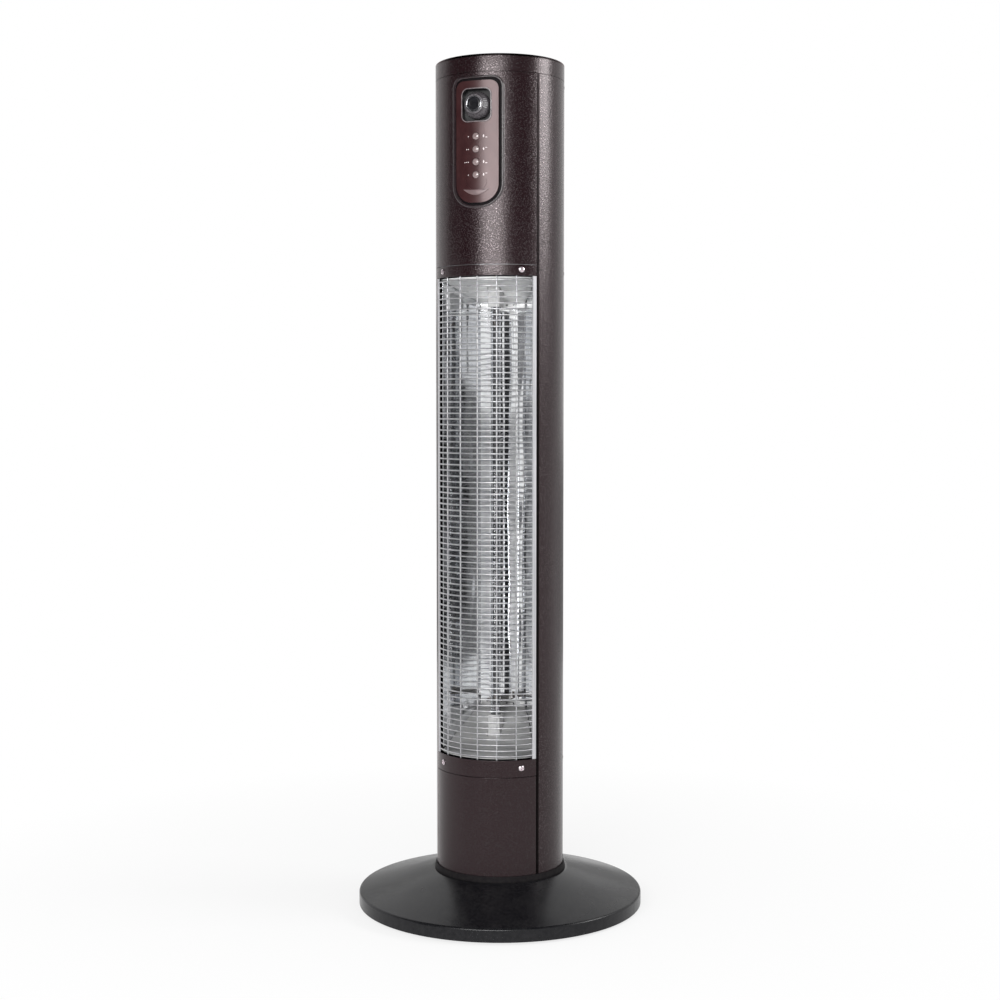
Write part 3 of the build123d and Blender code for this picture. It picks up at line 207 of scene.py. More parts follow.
def stretch_map(tree, source, low, high, low_out=0.0, high_out=1.0):
    """Clamped linear remap of a value."""
    return add_node(tree, "ShaderNodeMapRange", {
        "Value": source, "From Min": low, "From Max": high, "To Min": low_out,
        "To Max": high_out}).outputs["Result"]


def surface_point(tree, stretch=(1.0, 1.0, 1.0)):
    """Place on the object, stretched by a vector socket or value."""
    spot = add_node(tree, "ShaderNodeTexCoord").outputs["Object"]
    return add_node(tree, "ShaderNodeVectorMath", {0: spot, 1: stretch},
                    operation="MULTIPLY").outputs["Vector"]


def cloudy(tree, spot, scale, detail, roughness=0.5, distortion=0.0):
    """Noise over the surface."""
    return add_node(tree, "ShaderNodeTexNoise", {
        "Vector": spot, "Scale": scale, "Detail": detail, "Roughness": roughness,
        "Distortion": distortion}).outputs["Fac"]


def make_grain():
    """Fine grain that can be drawn out along one direction, as in brushed or cast surfaces."""
    tree, entry, leave = effect_group(
        "Grain", {"Scale": 400.0, "Stretch": (1.0, 1.0, 1.0)}, ["Height", "Mask"])
    spot = surface_point(tree, entry["Stretch"])
    shifted = add_node(tree, "ShaderNodeVectorMath", {0: spot, 1: (3.1, 1.7, 5.3)}, operation="ADD")
    slow_scale = compute(tree, "MULTIPLY", entry["Scale"], 0.4)
    slow = cloudy(tree, shifted.outputs["Vector"], slow_scale, 2.0)
    tree.links.new(cloudy(tree, spot, entry["Scale"], 3.0, 0.6), leave["Height"])
    tree.links.new(stretch_map(tree, slow, 0.35, 0.68), leave["Mask"])


def make_powder():
    """Textured powder paint: small rounded bumps with sparse lighter flecks on their tops."""
    tree, entry, leave = effect_group("Powder paint", {"Scale": 500.0}, ["Height", "Fleck"])
    spot = surface_point(tree)
    cells = add_node(tree, "ShaderNodeTexVoronoi", {
        "Vector": spot, "Scale": entry["Scale"], "Smoothness": 0.6}, feature="SMOOTH_F1")
    ripple = cloudy(tree, spot, compute(tree, "MULTIPLY", entry["Scale"], 0.95), 2.5, 0.65)
    height = compute(tree, "SUBTRACT", ripple, cells.outputs["Distance"])
    tree.links.new(height, leave["Height"])
    tree.links.new(stretch_map(tree, height, 0.16, 0.34), leave["Fleck"])


def make_smudge():
    """Slow cloudy variation, as from handling, cleaning and uneven gloss."""
    tree, entry, leave = effect_group("Smudges", {"Scale": 14.0}, ["Mask"])
    cloud = cloudy(tree, surface_point(tree, (1.0, 1.0, 0.6)), entry["Scale"], 4.0, 0.55, 0.6)
    tree.links.new(stretch_map(tree, cloud, 0.3, 0.7), leave["Mask"])


def make_dust():
    """Dust that settles on faces that look up."""
    tree, entry, leave = effect_group("Settled dust", {"Amount": 0.2}, ["Mask"])
    facing = add_node(tree, "ShaderNodeNewGeometry").outputs["Normal"]
    upward = add_node(tree, "ShaderNodeSeparateXYZ", {"Vector": facing}).outputs["Z"]
    patchy = stretch_map(tree, cloudy(tree, surface_point(tree), 45.0, 6.0, 0.75), 0.42, 0.75)
    settled = compute(tree, "MULTIPLY", stretch_map(tree, upward, 0.3, 1.0), patchy)
    tree.links.new(compute(tree, "MULTIPLY", settled, entry["Amount"]), leave["Mask"])


def make_wear():
    """Rubbed edges: bright where the surface is sharply convex."""
    tree, entry, leave = effect_group("Rubbed edges", {"Amount": 0.5}, ["Mask"])
    point = add_node(tree, "ShaderNodeNewGeometry").outputs["Pointiness"]
    edge = stretch_map(tree, point, 0.52, 0.6)
    patch = stretch_map(tree, cloudy(tree, surface_point(tree), 120.0, 3.0), 0.35, 0.65)
    worn = compute(tree, "MULTIPLY", edge, patch)
    tree.links.new(compute(tree, "MULTIPLY", worn, entry["Amount"]), leave["Mask"])


def make_seam_shade():
    """Painted shade: dark where the shells meet beside the front panels, standing in for the shade
    in the seam's groove, and a painted dark reflection round the cap's upper edge.
    """
    tree, entry, leave = effect_group("Seam shade", {"Amount": 1.0, "Width": 3.0}, ["Mask"])
    place = add_node(tree, "ShaderNodeSeparateXYZ", {"Vector": surface_point(tree)}).outputs
    # Painted shade of the groove beside each front panel's edge, below the head's top.
    turn = compute(tree, "ARCTAN2", place["X"], compute(tree, "MULTIPLY", place["Y"], -1.0))
    past = compute(tree, "SUBTRACT", compute(tree, "ABSOLUTE", turn), panel_half_angle)
    across = compute(tree, "DIVIDE", past, compute(tree, "MULTIPLY", entry["Width"], radians(1.0)))
    band = compute(tree, "MULTIPLY", stretch_map(tree, across, -0.1, 0.0),
                   stretch_map(tree, across, 0.75, 1.05, 1.0, 0.0))
    below = stretch_map(tree, place["Z"], head_top, head_top + 0.3 * MM, 1.0, 0.0)
    # Painted dark reflection round the cap's upper edge, standing in for the dark line its rounded
    # edge reflects.
    crown = stretch_map(tree, place["Z"], cap_top - 3.2 * MM, cap_top - 2.4 * MM)
    shade = compute(tree, "MAXIMUM", compute(tree, "MULTIPLY", band, below), crown)
    tree.links.new(compute(tree, "MULTIPLY", shade, entry["Amount"]), leave["Mask"])


def make_weave():
    """Plain weave of a carbon ribbon."""
    tree, entry, leave = effect_group("Weave", {"Scale": 900.0}, ["Height", "Mask"])
    spot = surface_point(tree)
    bands = [add_node(tree, "ShaderNodeTexWave", {"Vector": spot, "Scale": entry["Scale"]},
                      wave_type="BANDS", bands_direction=way).outputs["Fac"] for way in ("X", "Z")]
    woven = compute(tree, "MULTIPLY", *bands)
    tree.links.new(woven, leave["Height"])
    tree.links.new(stretch_map(tree, woven, 0.2, 0.8), leave["Mask"])


# ---- finishes

def place_group(tree, name, **values):
    """Puts a shared effect into a material with its own values."""
    node = tree.nodes.new("ShaderNodeGroup")
    node.node_tree = bpy.data.node_groups[name]
    for key, value in values.items():
        node.inputs[key].default_value = value
    return node.outputs


def mix_colour(tree, mask, first, second):
    """Colour that goes from first to second as the mask goes from 0 to 1."""
    first, second = (tone if isinstance(tone, bpy.types.NodeSocket) else (*tone, 1.0)
                     for tone in (first, second))
    return add_node(tree, "ShaderNodeMix", {"Factor": mask, 6: first, 7: second},
                    data_type="RGBA").outputs[2]


PLAIN_SOCKETS = {"metallic": "Metallic", "specular": "Specular IOR Level", "tint": "Specular Tint",
                 "coat": "Coat Weight", "coat_roughness": "Coat Roughness",
                 "transmission": "Transmission Weight", "ior": "IOR"}


def finish(name, first, second, scale, roughness, spread, relief, smudge=14, pattern="Grain",
           stretch=None, dust=0.0, wear=(0.0, None), painted_shade=0.0, **plain):
    """Material with two tones by a pattern, cloudy roughness, relief, dust and rubbed edges.

    scale and stretch set the pattern, relief is the depth of its bumps in microns, and smudge is
    the scale of the clouds. wear is an amount and a tone. painted_shade makes the flecks metallic
    and is the depth of the painted shade along the seams and of the painted dark reflection round
    the cap's top edge. plain holds values that are the same all over."""
    material = bpy.data.materials.new(name + " finish")
    material.use_nodes = True
    tree = material.node_tree
    shader = tree.nodes["Principled BSDF"].inputs
    drawn = place_group(tree, pattern, Scale=scale, **({"Stretch": stretch} if stretch else {}))
    mask = drawn["Fleck" if pattern == "Powder paint" else "Mask"]
    tone = mix_colour(tree, mask, first, second)
    # Painted shade: where the mask is full, the tone is near black and fully metallic, so the seam's
    # groove and the cap's top edge show neither colour nor reflection.
    if painted_shade:
        shade = place_group(tree, "Seam shade", Amount=painted_shade)["Mask"]
        tone = mix_colour(tree, shade, tone, (0.0015, 0.0012, 0.0012))
        tree.links.new(compute(tree, "MAXIMUM", mask, shade), shader["Metallic"])
    dust_tone = (0.34, 0.32, 0.30)
    for group, amount, above in (("Rubbed edges", *wear), ("Settled dust", dust, dust_tone)):
        if amount:
            tone = mix_colour(tree, place_group(tree, group, Amount=amount)["Mask"], tone, above)
    tree.links.new(tone, shader["Base Color"])
    cloud = place_group(tree, "Smudges", Scale=smudge)["Mask"]
    tree.links.new(stretch_map(tree, cloud, 0.0, 1.0, roughness - spread, roughness + spread),
                   shader["Roughness"])
    if relief:
        bump = add_node(tree, "ShaderNodeBump", {
            "Height": drawn["Height"], "Distance": relief * MICRON})
        tree.links.new(bump.outputs["Normal"], shader["Normal"])
    for key, value in plain.items():
        shader[PLAIN_SOCKETS[key]].default_value = value


def make_finishes():
    """Every material of the heater, by name."""
    look = bpy.context.scene.heater_colours
    fleck = tuple(look.paint_fleck)
    soft_fleck = tuple(0.55 * level for level in fleck)
    # The last column is the depth of the painted shade along the seams and round the cap's top edge.
    for name, lighter, roughness, relief, dust, painted_shade in (
            ("column_paint", fleck, 0.23, 140, 0.05, 0.9),
            ("panel_paint", soft_fleck, 0.23, 100, 0.05, 0.9),
            ("cap_paint", fleck, 0.26, 80, 0.08, 0.95)):
        finish(name, look.paint, lighter, 680, roughness, 0.04, relief, 9, "Powder paint", dust=dust,
               painted_shade=painted_shade, specular=0.34, tint=(1.0, 0.90, 0.91, 1.0))
    # Painted shadow: the foot collar is toned near black with almost no sheen, standing in for the
    # shadow gap at the column's foot.
    finish("collar_shadow_paint", (0.006, 0.005, 0.006), (0.011, 0.010, 0.010), 700, 0.6, 0.08, 30,
           specular=0.06)
    # Painted shadow: the carrier behind the opening is toned near black with little sheen, so the
    # groove round the fascia reads as shadow.
    finish("groove_shadow_plastic", (0.003, 0.0025, 0.003), (0.006, 0.005, 0.006), 900, 0.6, 0.08, 30,
           specular=0.1)
    finish("base_paint", look.base, (0.008, 0.0078, 0.009), 650, 0.24, 0.06, 20, 11, dust=0.02,
           wear=(0.08, (0.06, 0.058, 0.06)), specular=0.24)
    finish("rim_paint", (0.014, 0.009, 0.010), (0.022, 0.015, 0.017), 700, 0.26, 0.05, 20,
           specular=0.6)
    finish("fascia_gloss", look.fascia, (0.030, 0.0100, 0.0105), 220, 0.32, 0.04, 6, 26, coat=0.05,
           coat_roughness=0.2, specular=0.46, tint=(1.0, 0.84, 0.84, 1.0))
    # Painted highlight: the crescent lip is toned far lighter than the fascia, standing in for the
    # light on its curve.
    finish("lip_highlight_gloss", (0.135, 0.092, 0.094), (0.100, 0.068, 0.070), 500, 0.36, 0.05, 10, 60,
           specular=0.6)
    finish("well_plastic", (0.003, 0.003, 0.0035), (0.006, 0.0055, 0.0065), 900, 0.36, 0.07, 20, 40)
    # Painted highlight: the bead on the knob's well is toned far lighter than the well, standing in
    # for the light along its edge.
    finish("well_rim_highlight_plastic", (0.10, 0.08, 0.085), (0.17, 0.14, 0.145), 900, 0.24, 0.05, 10, 40)
    finish("knob_plastic", (0.045, 0.041, 0.045), (0.085, 0.078, 0.084), 1100, 0.24, 0.06, 15, 60,
           wear=(0.5, (0.20, 0.19, 0.20)))
    finish("knob_gloss", (0.006, 0.006, 0.007), (0.012, 0.012, 0.014), 300, 0.09, 0.04, 4, 80,
           coat=0.6, coat_roughness=0.04)
    finish("ring_chrome", (0.42, 0.42, 0.44), (0.28, 0.28, 0.30), 600, 0.10, 0.05, 0, 90,
           metallic=1.0)
    finish("button_pearl", look.button, (0.14, 0.105, 0.105), 900, 0.20, 0.05, 10, 120, coat=0.6,
           coat_roughness=0.1)
    finish("printed_marks", (0.58, 0.52, 0.52), (0.42, 0.37, 0.37), 900, 0.4, 0.08, 0, 120)
    finish("guard_plating", look.wire, (0.36, 0.36, 0.38), 500, 0.38, 0.08, 10, 35, metallic=0.85)
    finish("strip_plating", (0.46, 0.455, 0.47), (0.34, 0.34, 0.355), 900, 0.46, 0.08, 10, 30,
           stretch=(1.0, 1.0, 0.02), metallic=0.5, specular=0.3)
    finish("polished_sheet", look.polished, (0.70, 0.71, 0.73), 160, 0.065, 0.03, 4, 22,
           stretch=(1.0, 1.0, 0.05), metallic=1.0)
    # Lit and shaded copies of one aluminium sheet: the upper end plate is painted light, and the
    # lower one below is painted shade.
    finish("lit_sheet", (0.90, 0.90, 0.90), (0.80, 0.80, 0.80), 700, 0.36, 0.06, 10, 22,
           stretch=(0.05, 1.0, 1.0), metallic=0.25)
    finish("shaded_sheet", (0.42, 0.42, 0.42), (0.32, 0.32, 0.32), 700, 0.40, 0.06, 10, 22,
           stretch=(0.05, 1.0, 1.0), metallic=0.3)
    finish("zinc_sheet", (0.40, 0.41, 0.42), (0.56, 0.57, 0.58), 120, 0.38, 0.1, 10, 30,
           metallic=1.0)
    finish("holder_steel", (0.055, 0.048, 0.045), (0.11, 0.095, 0.085), 500, 0.36, 0.1, 10, 60,
           metallic=0.8)
    finish("screw_plating", (0.70, 0.62, 0.65), (0.52, 0.46, 0.49), 900, 0.26, 0.08, 6, 150,
           wear=(0.5, (0.86, 0.84, 0.86)), metallic=1.0)
    finish("dark_screw", (0.020, 0.014, 0.016), (0.040, 0.031, 0.034), 900, 0.32, 0.08, 6, 150,
           wear=(0.5, (0.30, 0.29, 0.30)))
    finish("quartz_glass", (0.78, 0.79, 0.80), (0.70, 0.71, 0.73), 90, 0.05, 0.02, 3, 30,
           transmission=1.0, ior=1.46)
    finish("carbon_ribbon", (0.012, 0.012, 0.013), (0.05, 0.05, 0.052), 320, 0.42, 0.08, 80, 60,
           "Weave")
    # Painted shade: the ceramic end caps are toned grey, standing in for the shade they sit in.
    finish("shaded_ceramic", (0.46, 0.46, 0.46), (0.38, 0.38, 0.38), 800, 0.62, 0.08, 40, 60)
    finish("cast_weight", (0.33, 0.32, 0.30), (0.21, 0.205, 0.195), 180, 0.8, 0.08, 400, 30)
    finish("foot_rubber", (0.018, 0.018, 0.018), (0.035, 0.034, 0.033), 900, 0.78, 0.08, 80, 50,
           dust=0.3)
    finish("black_plastic", (0.016, 0.016, 0.018), (0.03, 0.03, 0.032), 1100, 0.48, 0.07, 50, 40,
           "Powder paint", dust=0.06)
    finish("board_laminate", (0.015, 0.10, 0.045), (0.03, 0.17, 0.075), 420, 0.38, 0.06, 20, 60,
           stretch=(1.0, 1.0, 0.2))
    finish("lead_sleeve", (0.42, 0.38, 0.33), (0.32, 0.29, 0.25), 1300, 0.6, 0.08, 60, 60)


def refinish(finishes):
    """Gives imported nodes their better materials; finishes maps a finish to node names."""
    for finish_name, names in finishes.items():
        for name in names:
            slots = nodes[name].data.materials
            for index in range(len(slots)):
                slots[index] = bpy.data.materials[finish_name + " finish"]


# ---- mesh tools

def piece_from(shape, name, material, slot, stands_for=(), crease=35.0, body=HEATER):
    """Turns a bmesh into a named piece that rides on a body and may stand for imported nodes."""
    bmesh.ops.recalc_face_normals(shape, faces=shape.faces)
    mesh = bpy.data.meshes.new(name)
    shape.to_mesh(mesh)
    shape.free()
    for face in mesh.polygons:
        face.use_smooth = True
    mesh.set_sharp_from_angle(angle=radians(crease))
    mesh.materials.append(bpy.data.materials[material + " finish"])
    piece = bpy.data.objects.new(name, mesh)
    bpy.context.scene.collection.objects.link(piece)
    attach(piece, body)
    if stands_for:
        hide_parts(*stands_for)
    return piece


def loft(shape, rows, closed_ring=True, caps=False):
    """Skins rows of points with quads; returns the rows of vertices."""
    rings = [[shape.verts.new(spot) for spot in row] for row in rows]
    for low, high in zip(rings, rings[1:]):
        count = len(low)
        for index in range(count if closed_ring else count - 1):
            after = (index + 1) % count
            shape.faces.new((low[index], low[after], high[after], high[index]))
    if caps:
        shape.faces.new(list(reversed(rings[0])))
        shape.faces.new(rings[-1])
    return rings


def on_column(x, z, radius):
    """Point at the front of a round surface about the column's axis."""
    return (x, -sqrt(radius * radius - x * x), z)


def turned(profile, steps, place, shape=None):
    """Adds a shape turned about an axis; profile lists (radius, height), place maps to space."""
    shape = shape or bmesh.new()
    loft(shape, [[place(radius, tau * step / steps, height) for step in range(steps)]
                 for radius, height in profile])
    bmesh.ops.remove_doubles(shape, verts=shape.verts, dist=1e-6)
    return shape


def rod(shape, points, radius, sides):
    """Round rod along a list of points, with closed ends."""
    rows = []
    last = len(points) - 1
    for index, point in enumerate(points):
        along = (points[min(index + 1, last)] - points[max(index - 1, 0)]).normalized()
        reference = Vector((0, 0, 1)) if abs(along.z) < 0.9 else Vector((0, 1, 0))
        side = along.cross(reference).normalized()
        over = side.cross(along)
        rows.append([point + radius * (cos(tau * k / sides) * side + sin(tau * k / sides) * over)
                     for k in range(sides)])
    loft(shape, rows, caps=True)


def sheet_with_holes(shape, loops):
    """Flat face between an outline and the holes in it."""
    edges = []
    for loop in loops:
        line = [shape.verts.new(spot) for spot in loop]
        edges += [shape.edges.new(pair) for pair in zip(line, line[1:] + line[:1])]
    bmesh.ops.triangle_fill(shape, use_beauty=True, use_dissolve=False, edges=edges)


def rounded_line(width, height, top, top_corner, bottom_corner):
    """Points and inward directions round a tall rounded outline in x and z, anticlockwise."""
    half, low = width / 2, top - height
    arc_steps, spacing = 10, 4 * MM
    corners = [(half - bottom_corner, low + bottom_corner, bottom_corner, -90),
               (half - top_corner, top - top_corner, top_corner, 0),
               (-half + top_corner, top - top_corner, top_corner, 90),
               (-half + bottom_corner, low + bottom_corner, bottom_corner, 180)]
    line = []
    for x, z, radius, start in corners:
        for step in range(arc_steps + 1):
            angle = radians(start + 90 * step / arc_steps)
            out_x, out_z = cos(angle), sin(angle)
            line.append((x + radius * out_x, z + radius * out_z, -out_x, -out_z))
    dense = []
    for first, second in zip(line, line[1:] + line[:1]):
        parts = max(1, int(dist(first[:2], second[:2]) / spacing))
        dense += [tuple(a + (b - a) * part / parts for a, b in zip(first, second))
                  for part in range(parts)]
    return dense


def bead(line, section, face, left_reach=0.0):
    """Ring of a given section round an outline on the column.

    section lists (inward, lift) in millimetres, lift from the radius face; left_reach widens the
    inner half of the section on the left side."""
    shape = bmesh.new()
    rows = []
    for inward, lift in section + section[:1]:
        row = []
        for x, z, in_x, in_z in line:
            reach = inward * MM + (left_reach * max(0.0, in_x) if inward > 1.5 else 0.0)
            row.append(on_column(x + in_x * reach, z + in_z * reach, face + lift * MM))
        rows.append(row)
    loft(shape, rows)
    bmesh.ops.remove_doubles(shape, verts=shape.verts, dist=1e-6)
    return shape


def front_axis(centre_z):
    """Maps a turned shape onto an axis that points to the front at a height."""
    def place(radius, angle, height):
        return Vector((radius * cos(angle), -height, centre_z + radius * sin(angle)))
    return place


def out_from_column(angle):
    """Directions out of the column and across, at an angle from the front."""
    return Vector((sin(angle), -cos(angle), 0)), Vector((cos(angle), sin(angle), 0))


def screw_head(shape, angle, height, start, diameter, thickness, turn):
    """Domed screw head with a cross recess, pointing out of the column."""
    out, across = out_from_column(angle)
    up = Vector((0, 0, 1))
    radius = diameter / 2
    arm, arm_width, depth = 0.62 * radius, 0.16 * radius, 0.6 * thickness
    rows = []
    profile = [(step / 9, sqrt(1 - 0.80 * (step / 9) ** 2)) for step in range(10)]
    for share, rise in profile + [(1.0, 0.22), (1.0, 0.0)]:
        row = []
        for step in range(40):
            swing = tau * step / 40
            u, v = share * radius * cos(swing), share * radius * sin(swing)
            a = u * cos(turn) + v * sin(turn)
            b = v * cos(turn) - u * sin(turn)
            inside = (abs(a) < arm_width and abs(b) < arm) or (abs(b) < arm_width and abs(a) < arm)
            lift = thickness * rise - (depth if inside and rise > 0.5 else 0.0)
            row.append(out * (start + lift) + across * u + up * (height + v))
        rows.append(row)
    loft(shape, rows)


def thicken(piece, thickness, offset):
    """Gives a sheet its thickness."""
    solid = piece.modifiers.new("Sheet", "SOLIDIFY")
    solid.thickness, solid.offset = thickness, offset


def soften_edges(node, width):
    """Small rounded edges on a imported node, by modifiers alone."""
    stack = nodes[node].modifiers
    weld = stack.new("Join", "WELD")
    weld.merge_threshold = 1e-6
    soft = stack.new("Soft edge", "BEVEL")
    soft.width = width
    soft.segments = 2
    soft.limit_method = "ANGLE"
    soft.angle_limit = radians(60)
    soft.harden_normals = False
    stack.new("Even shading", "WEIGHTED_NORMAL").keep_sharp = True


# ---- pieces

class HEATER_OT_finishes(bpy.types.Operator):
    """Make the shared effects and every material"""

    bl_idname = "heater.finishes"
    bl_label = "Finishes"

    def execute(self, context):
        for make in (make_grain, make_powder, make_smudge, make_dust, make_wear, make_seam_shade,
                     make_weave):
            make()
        make_finishes()
        return {"FINISHED"}


class HEATER_OT_column(bpy.types.Operator):
    """Paint the shells, bands and cap of the column"""

    bl_idname = "heater.column"
    bl_label = "Column"

    def execute(self, context):
        refinish({
            "column_paint": ["rear_shell", "head_front_panel", "guard_upper_band"],
            "panel_paint": ["guard_lower_band", "lower_front_panel"],
            "cap_paint": ["top_cap"],
        })
        for node in ("guard_upper_band", "guard_lower_band", "lower_front_panel"):
            soften_edges(node, 0.45 * MM)
        soften_edges("top_cap", 1.2 * MM)
        return {"FINISHED"}


class HEATER_OT_base(bpy.types.Operator):
    """Finish the base cover, foot ring, feet and what is under them"""

    bl_idname = "heater.base"
    bl_label = "Base"

    def execute(self, context):
        refinish({
            "base_paint": ["base_cover"],
            # The collar's near-black finish is a painted shadow.
            "collar_shadow_paint": ["foot_collar"],
            "cast_weight": ["base_ballast"],
            "foot_rubber": ["rubber_feet"],
            "zinc_sheet": ["column_socket", "column_bolts", "column_nuts", "cover_screws"],
            "black_plastic": ["tip_switch", "tip_plunger", "cable_gland", "gland_nut"],
        })
        return {"FINISHED"}


def make_guard(sizes):
    """Level wires, uprights and the weld spots where they cross."""
    chance = random.Random(11)
    setback, weld_radius, weld_out, weld_flatness = 0.3 * MM, 1.15 * MM, 0.75 * MM, 0.75
    wire_radius = column_radius - setback - sizes.wire_diameter / 2
    upright_radius = wire_radius - sizes.wire_diameter / 2 - sizes.upright_diameter / 2
    span = window_high - window_low
    count = int(span / sizes.wire_pitch)
    first = (window_low + window_high - (count - 1) * sizes.wire_pitch) / 2
    heights = [first + row * sizes.wire_pitch for row in range(count)]
    wires = bmesh.new()
    for height in heights:
        phase = chance.uniform(0, tau)
        points = []
        for step in range(45):
            angle = sizes.guard_half_angle * (step / 22 - 1)
            stray = sizes.wire_waviness * sin(3 * angle + phase)
            points.append(Vector((wire_radius * sin(angle), -wire_radius * cos(angle),
                                  height + stray)))
        rod(wires, points, sizes.wire_diameter / 2, 10)
    piece_from(wires, "guard_wires", "guard_plating", "guard_chrome", ["guard_cross_wires"], 60)
    uprights, welds = bmesh.new(), bmesh.new()
    for degree in (-36, -18, 0, 18, 36):
        out = out_from_column(radians(degree))[0]
        rod(uprights, [out * upright_radius + Vector((0, 0, window_low + span * quarter / 4))
                       for quarter in range(5)], sizes.upright_diameter / 2, 12)
        for height in heights:
            spot = out * (upright_radius + weld_out) + Vector((0, 0, height))
            made = bmesh.ops.create_icosphere(welds, subdivisions=1, radius=weld_radius)
            for vert in made["verts"]:
                vert.co = spot + Vector((vert.co.x, vert.co.y, vert.co.z * weld_flatness))
    piece_from(uprights, "guard_upright_wires", "guard_plating", "guard_chrome", ["guard_uprights"])
    piece_from(welds, "guard_weld_spots", "guard_plating", "guard_chrome", crease=80)


class HEATER_OT_guard(bpy.types.Operator):
    """Make the wires, uprights and weld spots of the guard, and finish its side strips"""

    bl_idname = "heater.guard"
    bl_label = "Guard"

    def execute(self, context):
        make_guard(context.scene.heater_sizes)
        refinish({"strip_plating": ["guard_side_strips"]})
        return {"FINISHED"}


def make_end_plate(name, node, sheet, mouth_z, rise, wall):
    """Sloping plate with a ledge out to the guard, a lip at the back and the lamp's passage."""
    back_z = mouth_z + rise
    corner = (back_half - 0.6 * MM, corner_y - 0.9 * MM)
    slope = rise / (corner[1] - mouth_y)
    passage, ledge_radius, lip_height, hole_radius = 8.3 * MM, 71.6 * MM, 7.4 * MM, 1.3 * MM
    lamp_y = middle("lamp_tube", "y")
    shape = bmesh.new()
    right = [corner] + sorted(wall, key=lambda spot: -spot[1])
    edge = right + [(-x, y) for x, y in reversed(right)]
    opening = [(-passage, lamp_y - passage), (passage, lamp_y - passage),
               (passage, lamp_y + passage), (-passage, lamp_y + passage)]
    sheet_with_holes(shape, [[Vector((x, y, mouth_z + slope * (y - mouth_y))) for x, y in line]
                             for line in (edge, opening)])
    wide = right[-1][0]
    swing = atan2(wide, sqrt(ledge_radius ** 2 - wide ** 2))
    turns = [swing * (step / 16 - 1) for step in range(33)]
    ledge = [(ledge_radius * sin(turn), -ledge_radius * cos(turn)) for turn in turns]
    ledge += [(wide, mouth_y), (-wide, mouth_y)]
    sheet_with_holes(shape, [[Vector((x, y, mouth_z)) for x, y in ledge]])
    lip_half, lip_y = corner[0] - 0.6 * MM, corner[1] - 0.3 * MM
    lip_end = back_z + copysign(lip_height, rise)
    loops = [[Vector((x, lip_y, z)) for x, z in ((-lip_half, back_z), (lip_half, back_z),
                                                 (lip_half, lip_end), (-lip_half, lip_end))]]
    for x in (-14 * MM, -5 * MM, 5 * MM, 14 * MM):
        loops.append([Vector((x + hole_radius * cos(tau * k / 16), lip_y,
                              (back_z + lip_end) / 2 + hole_radius * sin(tau * k / 16)))
                      for k in range(16)])
    sheet_with_holes(shape, loops)
    bmesh.ops.remove_doubles(shape, verts=shape.verts, dist=1e-6)
    thicken(piece_from(shape, name, sheet, "reflector_aluminium", [node], 20),
            thickness=0.6 * MM, offset=0.0)


def make_trough(dents):
    """Polished trough with a crease down its back; returns half of its outline in plan."""
    bulge, crease = 1.0 * MM, 2.6 * MM
    lean = atan2(mouth_half - back_half, corner_y - mouth_y)
    half_line = [(0.0, back_y - crease), (18.5 * MM, back_y), (back_half, corner_y)]
    for share in (0.30, 0.60, 0.86, 1.0):
        swell = bulge * 4 * share * (1 - share)
        half_line.append((back_half + (mouth_half - back_half) * share + swell * cos(lean),
                          corner_y + (mouth_y - corner_y) * share + swell * sin(lean)))
    line = [(-x, y) for x, y in reversed(half_line[1:])] + half_line
    columns = [(x0 + (x1 - x0) * part / 8, y0 + (y1 - y0) * part / 8)
               for (x0, y0), (x1, y1) in zip(line, line[1:]) for part in range(8)] + line[-1:]
    rows = 150
    shape = bmesh.new()
    strips = []
    # The slow waves of the sheet die out towards the mouth.
    for x, y in columns:
        away = (y - mouth_y) / (back_y - mouth_y)
        low = trough_low + lower_slope * away
        high = trough_high - upper_slope * away
        into = Vector((-x * 0.8, -0.06, 0)).normalized()
        fade = min(1.0, away * 6)
        strip = []
        for row in range(rows + 1):
            z = low + (high - low) * row / rows
            wave = noise.noise(Vector((x * 34 + 1.3, y * 20, z * 9.0)))
            wave += 0.5 * noise.noise(Vector((x * 80, 7.7 + y * 60, z * 21.0)))
            strip.append(Vector((x, y, z)) + into * dents * (0.6 + wave) * fade)
        strips.append(strip)
    loft(shape, strips, closed_ring=False)
    trough = piece_from(shape, "polished_trough", "polished_sheet", "reflector_aluminium",
                        ["reflector"], 40)
    inner = trough.data.polygons[len(trough.data.polygons) // 2]
    thicken(trough, thickness=0.8 * MM, offset=1.0 if inner.normal.y > 0 else -1.0)
    return half_line


class HEATER_OT_reflector(bpy.types.Operator):
    """Make the creased, slightly wavy trough and its folded end plates"""

    bl_idname = "heater.reflector"
    bl_label = "Reflector"

    def execute(self, context):
        half_line = make_trough(context.scene.heater_sizes.trough_dents)
        wall = [(x - 0.5 * MM, y) for x, y in half_line if x > back_half]
        # The lower plate takes the painted-shade copy of the sheet, and the upper one the
        # painted-light copy.
        for end, sheet, mouth_z, slope in (("lower", "shaded_sheet", trough_low, lower_slope),
                                           ("upper", "lit_sheet", trough_high, -upper_slope)):
            make_end_plate(end + "_end_plate", end + "_end_reflector", sheet, mouth_z, slope, wall)
        refinish({
            "zinc_sheet": ["heat_shield", "lower_reflector_bracket", "upper_reflector_bracket",
                           "lower_bulkhead", "upper_bulkhead"],
        })
        return {"FINISHED"}


